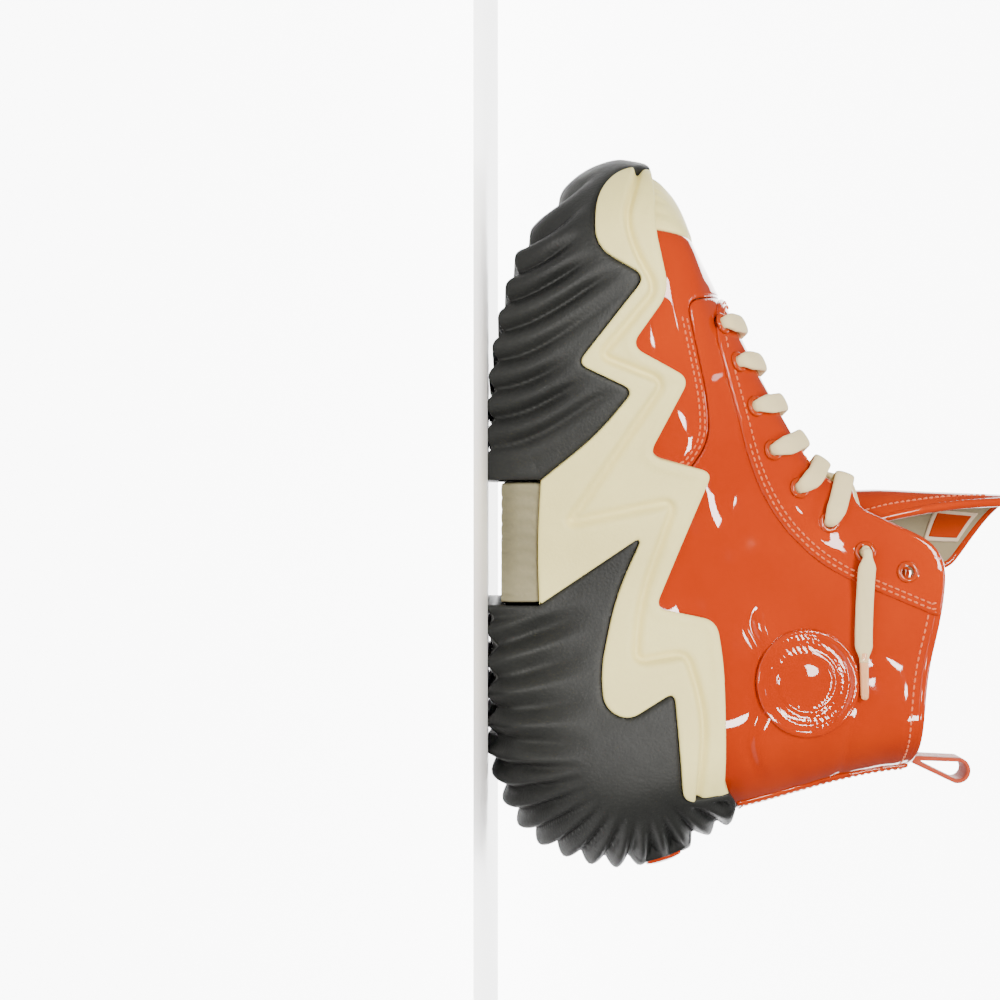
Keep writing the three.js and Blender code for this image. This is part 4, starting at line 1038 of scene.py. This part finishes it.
def tongue_sheet(shares, steps):
    """Rows of the tongue; step 0 is where it comes into the lace opening, less than 0 is under the vamp."""
    return catmull(np.array([tongue_point(row, shares) for row in TONGUE_ROWS]), (8 * np.asarray(steps) + 1) / 9)


def sheet_normals(rows):
    """The direction out of a sheet, towards the toe, at each of its points."""
    across, up = np.gradient(rows, axis=1), np.gradient(rows, axis=0)
    normals = unit(np.cross(across, up))
    return normals if (normals[..., 0].mean() > 0) else -normals


def thick_sheet(name, rows, normals, front, back, finish, body=None, bulge=0.0):
    """A closed slab over a grid: front and back are heights over it; bulge rounds its middle out."""
    up, across = rows.shape[:2]
    share = np.linspace(0, 1, across)[None, :]
    edge = np.clip(np.minimum(share, 1 - share) * across * 0.5, 0, 1)
    swell = bulge * np.sin(math.pi * share) ** 0.5
    outer = rows + normals * (np.broadcast_to(front + swell, (up, across)) * 1.0)[..., None]
    inner = rows + normals * np.broadcast_to(back, (up, across))[..., None]
    points = np.concatenate([outer.reshape(-1, 3), inner.reshape(-1, 3)])
    count = up * across
    j, i = np.meshgrid(np.arange(up - 1), np.arange(across - 1), indexing="ij")
    a = (j * across + i).ravel()
    top = np.stack([a, a + 1, a + across + 1, a + across], 1)
    edges = [(k, k + 1) for k in range(across - 1)]
    edges += [((j + 1) * across - 1, (j + 2) * across - 1) for j in range(up - 1)]
    edges += [((up - 1) * across + k + 1, (up - 1) * across + k) for k in range(across - 1)][::-1]
    edges += [((j + 1) * across, j * across) for j in range(up - 1)][::-1]
    rim = np.array([(b, a, a + count, b + count) for a, b in edges])
    faces = np.concatenate([top, top[:, ::-1] + count, rim])
    return new_piece(name, points, faces, finish, body)


shares = np.linspace(0.0, 1.0, 49)
steps = np.linspace(-0.125, 1.0, 181)
tongue_rows = tongue_sheet(shares, steps)
tongue_out = sheet_normals(tongue_rows)
run = steps[:, None]
creases = 0.35 * np.sin(run * 60 + 3 * np.linspace(0, 1, 49)[None, :]) * bump_at(run, 0.52, 0.12)
tongue_top = thick_sheet("tongue_patent", tongue_rows, tongue_out, 1.2 + creases, 0.1, PATENT,
                         bulge=0.5)
tongue_back = thick_sheet("tongue_cloth", tongue_rows, tongue_out, 0.1, -1.6, CANVAS)
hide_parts("tongue", "tongue_flap")
BOUND_FROM = 60
border, border_out = (
    np.concatenate([grid[BOUND_FROM:, 0], grid[-1, 1:-1], grid[BOUND_FROM:, -1][::-1]])
    for grid in (tongue_rows, tongue_out)
)
border, border_out = resampled(border, border_out, 1.8)
border = eased(border, 5)
tongue_edge = tube("tongue_binding", border - border_out * 0.2, border_out, 1.7, 1.9, PATENT, 12, body=None)
edge_stitches = []
for column in (4, -5):
    line, outs = (grid[BOUND_FROM + 2:-8, column] for grid in (tongue_rows, tongue_out))
    edge_stitches.append((line + outs * 1.75, outs))
tongue_thread = stitch_row("tongue_stitches", edge_stitches, 2.0, 0.4, body=None)
for piece in (tongue_top, tongue_back, tongue_edge, tongue_thread):
    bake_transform(piece)

label_rows = tongue_sheet(np.linspace(0.2, 0.5, 25), np.linspace(0.875, 0.975, 21))
label_out = sheet_normals(label_rows)
label_base = thick_sheet("tongue_label_cloth", label_rows, label_out, -1.75, -2.45, PALE_THREAD,
                         body="tongue_flap")
plain_rows = tongue_sheet(np.linspace(0.235, 0.465, 25), np.linspace(0.885, 0.965, 21))
thick_sheet("tongue_label_print", plain_rows, sheet_normals(plain_rows), -2.3, -2.62, PAINT,
            body="tongue_flap")
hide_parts("tongue_label")
print("tongue:", tongue_rows[0, 24].round(1), "to", tongue_rows[-1, 24].round(1))

# %% [markdown]
# ## Eyelets
# Eight pairs of punched eyelets, enamelled in the colour of the leather. Each is a ring turned from one profile: a
# domed flange over the eyestay and a short barrel through it. The top pair stays empty.
# %% A ring turned from its profile
def turned_ring(place, out, profile, sides=28):
    """A profile of radius and height, turned round an eyelet's axis."""
    helper = np.array([0, 0, 1.0]) if abs(out[2]) < 0.9 else np.array([1.0, 0, 0])
    right = unit(np.cross(out, helper))
    up = np.cross(out, right)
    points = []
    for k in range(sides):
        turn = 2 * math.pi * k / sides
        across = right * math.cos(turn) + up * math.sin(turn)
        points += [place + across * r + out * h for r, h in profile]
    return points, [face[::-1] for face in ring_quads(sides, len(profile), closed=True)]


RING_TOP = 4.25
ring_profile = [(2.45, -2.2), (3.1, -2.2), (3.1, 2.9), (4.3, 2.95), (4.45, 3.25), (4.25, 3.75), (3.75, 4.15),
                (3.2, RING_TOP), (2.75, 4.05), (2.5, 3.6)]
for sign, side_name in ((1, "medial"), (-1, "lateral")):
    for order in range(len(EYELETS)):
        place, out = sites[sign, order]
        points, faces = turned_ring(place, out, ring_profile)
        which = f"{side_name}_{order + 1}"
        ring = new_piece(f"eyelet_ring_{which}", points, faces, PAINT, "root")
        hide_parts(f"eyelet_{which}")
print("eyelets:", len(sites))

# %% [markdown]
# ## Laces
# Flat cotton laces cross the throat from outside one eyelet to under the next one. Cloth laces bunch where they
# dive into an eyelet and lie flat where they cross, so the section changes along the way.
# %% The lace's way through the eyelets
TONGUE_TREE_ROWS = tongue_sheet(np.linspace(0, 1, 60), np.linspace(0, 1, 160))
TONGUE_OUTS = sheet_normals(TONGUE_TREE_ROWS).reshape(-1, 3)
TONGUE_FLAT = TONGUE_TREE_ROWS.reshape(-1, 3)


def nearest(points, point):
    """The number of the nearest point."""
    return ((points - point) ** 2).sum(1).argmin()


def lifted(point, height):
    """A point moved to a height over the upper."""
    near = nearest(UPPER_POINTS, point)
    return point + UPPER_NORMALS[near] * (height - (point - UPPER_POINTS[near]) @ UPPER_NORMALS[near])


def off_tongue(point, height):
    """A point moved out, if need be, until it clears the tongue."""
    near = nearest(TONGUE_FLAT, point)
    now = (point - TONGUE_FLAT[near]) @ TONGUE_OUTS[near] - 1.6
    return point + TONGUE_OUTS[near] * max(0, height - now)


def over_tongue(x, z, height):
    """The point over the tongue's middle line that is nearest in side view."""
    middle = catmull(np.array([(row[0][0], float(swing(row[0][0])), row[0][1]) for row in TONGUE_ROWS]),
                     np.linspace(0, 1, 201))
    near = np.hypot(middle[:, 0] - x, middle[:, 2] - z).argmin()
    return off_tongue(middle[near], height)


LACED, HALF_THICK = 7, 1.15
LACE_OUT, LACE_IN = RING_TOP + 1.5, WALL_IN - 2.8


def lerp(a, b, t):
    """The point a share t of the way from a to b."""
    return a + (b - a) * t


def strand(sign, order):
    """One crossing of the lace, from outside one eyelet to under the next one across."""
    (from_at, from_out), (to_at, to_out) = sites[sign, order], sites[-sign, order + 1]
    deep = HALF_THICK + 1.0
    height = deep if sign > 0 else deep + 2 * HALF_THICK + 0.4
    middle = (from_at + to_at) / 2
    centre = over_tongue(middle[0], middle[2], height)
    edge = lifted(lerp(from_at, centre, 0.48), LACE_OUT + 0.6)
    under = off_tongue(lifted(lerp(to_at, centre, 0.28), LACE_IN), deep)
    return [
        from_at + from_out * LACE_OUT, lifted(lerp(from_at, centre, 0.25), LACE_OUT), edge,
        off_tongue(lerp(edge, centre, 0.35), deep), off_tongue(lerp(edge, centre, 0.7), (height + deep) / 2),
        centre, off_tongue(lerp(centre, under, 0.3), (height + deep) / 2), off_tongue(lerp(centre, under, 0.65), deep),
        under, to_at + to_out * LACE_IN,
    ]


def lace_route():
    """The whole way: up one side, back down, over the bar at the toe and up the other."""
    def climb(sign):
        points = []
        for order in range(LACED - 1):
            points += strand(-sign if order % 2 else sign, order)
        return points

    def out_of(sign, order, height):
        place, out = sites[sign, order]
        return place + out * height

    bar = over_tongue(*EYELETS[0], HALF_THICK + 1.0)
    turned = -1 if (LACED - 1) % 2 else 1
    lateral = [out_of(-1, 0, LACE_IN), *climb(-1), out_of(-turned, LACED - 1, 4.4)]
    medial = [out_of(1, 0, LACE_IN), *climb(1), out_of(turned, LACED - 1, 4.4)]
    return np.array([*lateral[::-1], bar, *medial])


def ribbon_outs(line, wanted, rounds=40):
    """Directions across a ribbon's face that turn smoothly and follow the wanted ones where those are square to it."""
    along = unit(np.gradient(line, axis=0))
    side = unit(np.cross(along[0], wanted[0] + 1e-3))
    sides = [side]
    for a in along[1:]:
        side = unit(side - a * (side @ a))
        sides.append(side)
    sides = np.array(sides)
    third = np.cross(along, sides)
    flat = wanted - (wanted * along).sum(1, keepdims=True) * along
    angle = np.arctan2((flat * third).sum(1), (flat * sides).sum(1))
    wish = (np.linalg.norm(flat, axis=1) ** 2) * np.exp(2j * angle)
    angle = 0.5 * np.unwrap(np.angle(eased(wish, rounds)))
    return sides * np.cos(angle)[:, None] + third * np.sin(angle)[:, None]


def skin_outs(line):
    """Directions out of whatever lies under the lace: leather beside the slot, tongue within it."""
    outs = []
    for point in line:
        near, close = nearest(UPPER_POINTS, point), nearest(TONGUE_FLAT, point)
        share = float(smoothstep(throat_distance(point[None])[0], -3, 3))
        outs.append(UPPER_NORMALS[near] * (1 - share) + TONGUE_OUTS[close] * share)
    return unit(np.array(outs))


route = lace_route()
route = eased(resampled(route, route, 0.8)[0], 8)
mouths = np.array([sites[sign, order][0] for sign in (1, -1) for order in range(LACED)])
hole_away = np.sqrt(((route[:, None] - mouths[None]) ** 2).sum(2)).min(1)
flatness = smoothstep(hole_away, 3.5, 8.0)
wide = 2.4 + 1.7 * flatness
thick = 1.9 - 0.4 * flatness
route_outs = ribbon_outs(route, skin_outs(route))
threaded = tube("lace_threaded", route, route_outs, wide, thick, COTTON, 16)
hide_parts("lace")
print("threaded lace:", round(float(np.linalg.norm(np.diff(route, axis=0), axis=1).sum())), "mm")

# %% [markdown]
# ## Free ends of the lace
# Each end comes out of the last laced eyelet and lies on the leather. A clear tip, the aglet, keeps it from fraying.
# %% Two free ends
END_MEDIAL = [
    (65, 37.2, 153.9), (64.7, 38.4, 153.9), (62.8, 39.2, 153.9), (60, 39.2, 153.8), (57, 38.9, 153.6),
    (53.5, 38.4, 153.4), (50, 37.8, 153.3), (46.5, 37.2, 153.2), (43, 36.9, 153.1), (39.5, 36.7, 153),
    (36, 36.6, 152.9), (32, 36.6, 152.8), (28, 36.7, 152.8), (24, 37, 152.8), (20, 37.4, 152.8),
]
END_LATERAL = [
    (65, -37.1, 153.9), (65, -38.2, 153.7), (64.6, -39.2, 152), (64.3, -39.4, 149), (64, -39.4, 145.5),
    (63.8, -39.5, 142), (63.8, -39.6, 138.5), (63.9, -39.6, 135), (64.1, -39.5, 131.5), (64.4, -39.3, 128),
    (64.9, -38.9, 124.5), (65.5, -38.5, 121), (66.2, -38.3, 117.5), (66.9, -38.2, 114), (67.5, -38.4, 110.5),
]


def free_end(side_name, places):
    """A loose end with its tip."""
    line = catmull(np.array(places, float), np.linspace(0, 1, 85))
    run = np.concatenate([[0], np.cumsum(np.linalg.norm(np.diff(line, axis=0), axis=1))])
    outs = ribbon_outs(line, skin_outs(line), 12)
    flat = smoothstep(run, 2.5, 8) * (1 - smoothstep(run, run[-1] - 7, run[-1] - 1))
    wide, thick = 1.9 + 1.7 * flat, 1.6 - 0.3 * flat
    end = tube(f"lace_free_{side_name}", line, outs, wide, thick, COTTON, 16)
    along = unit(line[-1] - line[-3])
    tip_run = np.array([-4.0, -3.6, -2, 0, 3, 6, 9, 12, 14.2, 15.0])
    tip_size = np.array([1.5, 1.72, 1.75, 1.72, 1.68, 1.62, 1.6, 1.58, 1.4, 0.7])
    tip = tube(f"aglet_tip_{side_name}", line[-1] + along * tip_run[:, None], np.repeat(outs[-1:], 10, 0),
               tip_size * 1.08, tip_size * 0.92, AGLET, 18)
    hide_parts(f"lace_end_{side_name}")
    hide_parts(f"aglet_{side_name}")
    path = (line * MM).tolist()
    return float(run[-1])


print("free ends, mm:", [round(free_end(*one), 1) for one in (("medial", END_MEDIAL), ("lateral", END_LATERAL))])

# %% [markdown]
# ## Pull loop
# A folded strap of webbing at the back of the collar, to pull the shoe on with. It is stitched at its foot and can
# swing back and forth.
# %% A strap bent into a drop-shaped loop
LOOP_AT, LOOP_LEAN = (-24.0, 180.9), math.radians(14)


def loop_profile(inset):
    """The strap's drop-shaped outline, round above and narrow at its foot."""
    belly = 5.5 - inset
    turns = np.linspace(0, math.pi, 25)
    arc = np.stack([belly * np.cos(turns), 18.5 + belly * np.sin(turns)], 1)
    foot_half = max(0.35, 1.8 - inset)
    low = np.linspace(math.pi, 2 * math.pi, 11)
    foot = np.stack([foot_half * np.cos(low), inset * 1.6 + foot_half * np.sin(low)], 1)
    return np.concatenate([arc, foot])


def loop_mesh():
    """The strap between its outer and inner outline, with edges that thin out."""
    outer, inner = loop_profile(0.0), loop_profile(1.8)
    widths = np.array([-7, -6.7, -6, -3, 0, 3, 6, 6.7, 7.0])
    shrink = np.array([0.45, 0.12, 0, 0, 0, 0, 0, 0.12, 0.45])
    points, count = [], len(outer)
    for width, less in zip(widths, shrink):
        mid = (outer + inner) / 2
        for part in (outer, inner):
            xz = part + (mid - part) * less
            for u, v in xz:
                x = LOOP_AT[0] + u * math.cos(LOOP_LEAN) - v * math.sin(LOOP_LEAN)
                z = LOOP_AT[1] + u * math.sin(LOOP_LEAN) + v * math.cos(LOOP_LEAN)
                points.append((x, width, z))
    faces = []
    for j in range(len(widths) - 1):
        for k in range(count):
            a, b = j * 2 * count + k, j * 2 * count + (k + 1) % count
            faces.append((a, b, b + 2 * count, a + 2 * count))
            faces.append((a + count, a + 3 * count, b + 3 * count, b + count))
    for j, flip in ((0, False), (len(widths) - 1, True)):
        for k in range(count):
            a, b = j * 2 * count + k, j * 2 * count + (k + 1) % count
            quad = (a, a + count, b + count, b)
            faces.append(quad[::-1] if flip else quad)
    return points, faces


loop_points, loop_faces = loop_mesh()
loop_piece = new_piece("pull_loop_webbing", loop_points, loop_faces, WEBBING, "pull_loop")
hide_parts("pull_loop")
print("loop points:", len(loop_points))

# %% [markdown]
# ## Inside the shoe
# The insole is a soft pad, a little dished under the heel, covered in cloth. The board under it, the counter, the
# toe puff and the collar's foam are between the layers; they keep the CAD's own shapes and get fitting finishes.
# %% Insole and inner pieces
level = UPPER_ROWS[0] + UPPER_NORMALS.reshape(UPPER_ROWS.shape)[0] * (LINING_IN - 0.3)
towards = unit(np.array([88, 0, 0]) - level * [1, 1, 0]) * [1, 1, 0]


def insole_piece():
    """A pad that fills the floor of the shoe: rounded rim, dished heel and flat underside."""
    around = len(level)
    partner = across_from(around)
    rings = []
    shape = [(2.5, 0.0), (2.25, 0.3), (2.2, 1.2), (2.2, 3.2), (2.35, 4.0), (3.0, 4.5), (4.2, 4.6)]
    for inset, height in shape:
        rings.append(level + towards * inset + [0, 0, 2.1 + height])
    rim = rings[-1]
    middle = 0.5 * (rim + rim[partner])
    for share in (0.12, 0.3, 0.5, 0.7, 0.85, 1.0):
        ring = rim + (middle - rim) * share
        dish = -1.3 * share * (1 - smoothstep(ring[:, 0], -5, 45))
        rings.append(ring + np.stack([0 * dish, 0 * dish, dish], 1))
    low = rings[0]
    low_middle = 0.5 * (low + low[partner])
    bottom = [low + (low_middle - low) * share for share in (1.0, 0.66, 0.33)]
    rows = np.array(bottom + rings)
    points = rows.reshape(-1, 3)
    index = np.arange(len(points))
    index[:around] = np.minimum(np.arange(around), partner)
    last = (len(rows) - 1) * around
    index[last:] = last + np.minimum(np.arange(around), partner)
    faces = open_faces(index[wrapped_faces(len(rows), around)])
    used, faces = np.unique(faces, return_inverse=True)
    return points[used], faces.reshape(-1, 3)


insole_points, insole_faces = insole_piece()
insole = new_piece("insole_pad", insole_points, insole_faces, CANVAS, "insole")
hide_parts("insole")
for name, finish in (("lasting_board", BOARD), ("toe_puff", BOARD), ("heel_counter", BOARD), ("collar_pad", PADDING)):
    node = bpy.data.objects[name]
    node.data.materials.clear()
    node.data.materials.append(finish)
print("insole points:", len(insole_points))

# %% [markdown]
# ## Floor
# A plain white table.
# %% Floor
floor_mesh = bpy.data.meshes.new("floor")
floor_mesh.from_pydata([(-3, -4, 0), (3, -4, 0), (3, 0.42, 0), (-3, 0.42, 0)], [], [(0, 1, 2, 3)])
floor = bpy.data.objects.new("floor", floor_mesh)
bpy.context.scene.collection.objects.link(floor)
floor_finish = Finish("white_table", 0.3)
floor_finish.shader.inputs["Base Color"].default_value = (0.92, 0.92, 0.92, 1)
floor_mesh.materials.append(floor_finish.material)
bpy.context.view_layer.update()
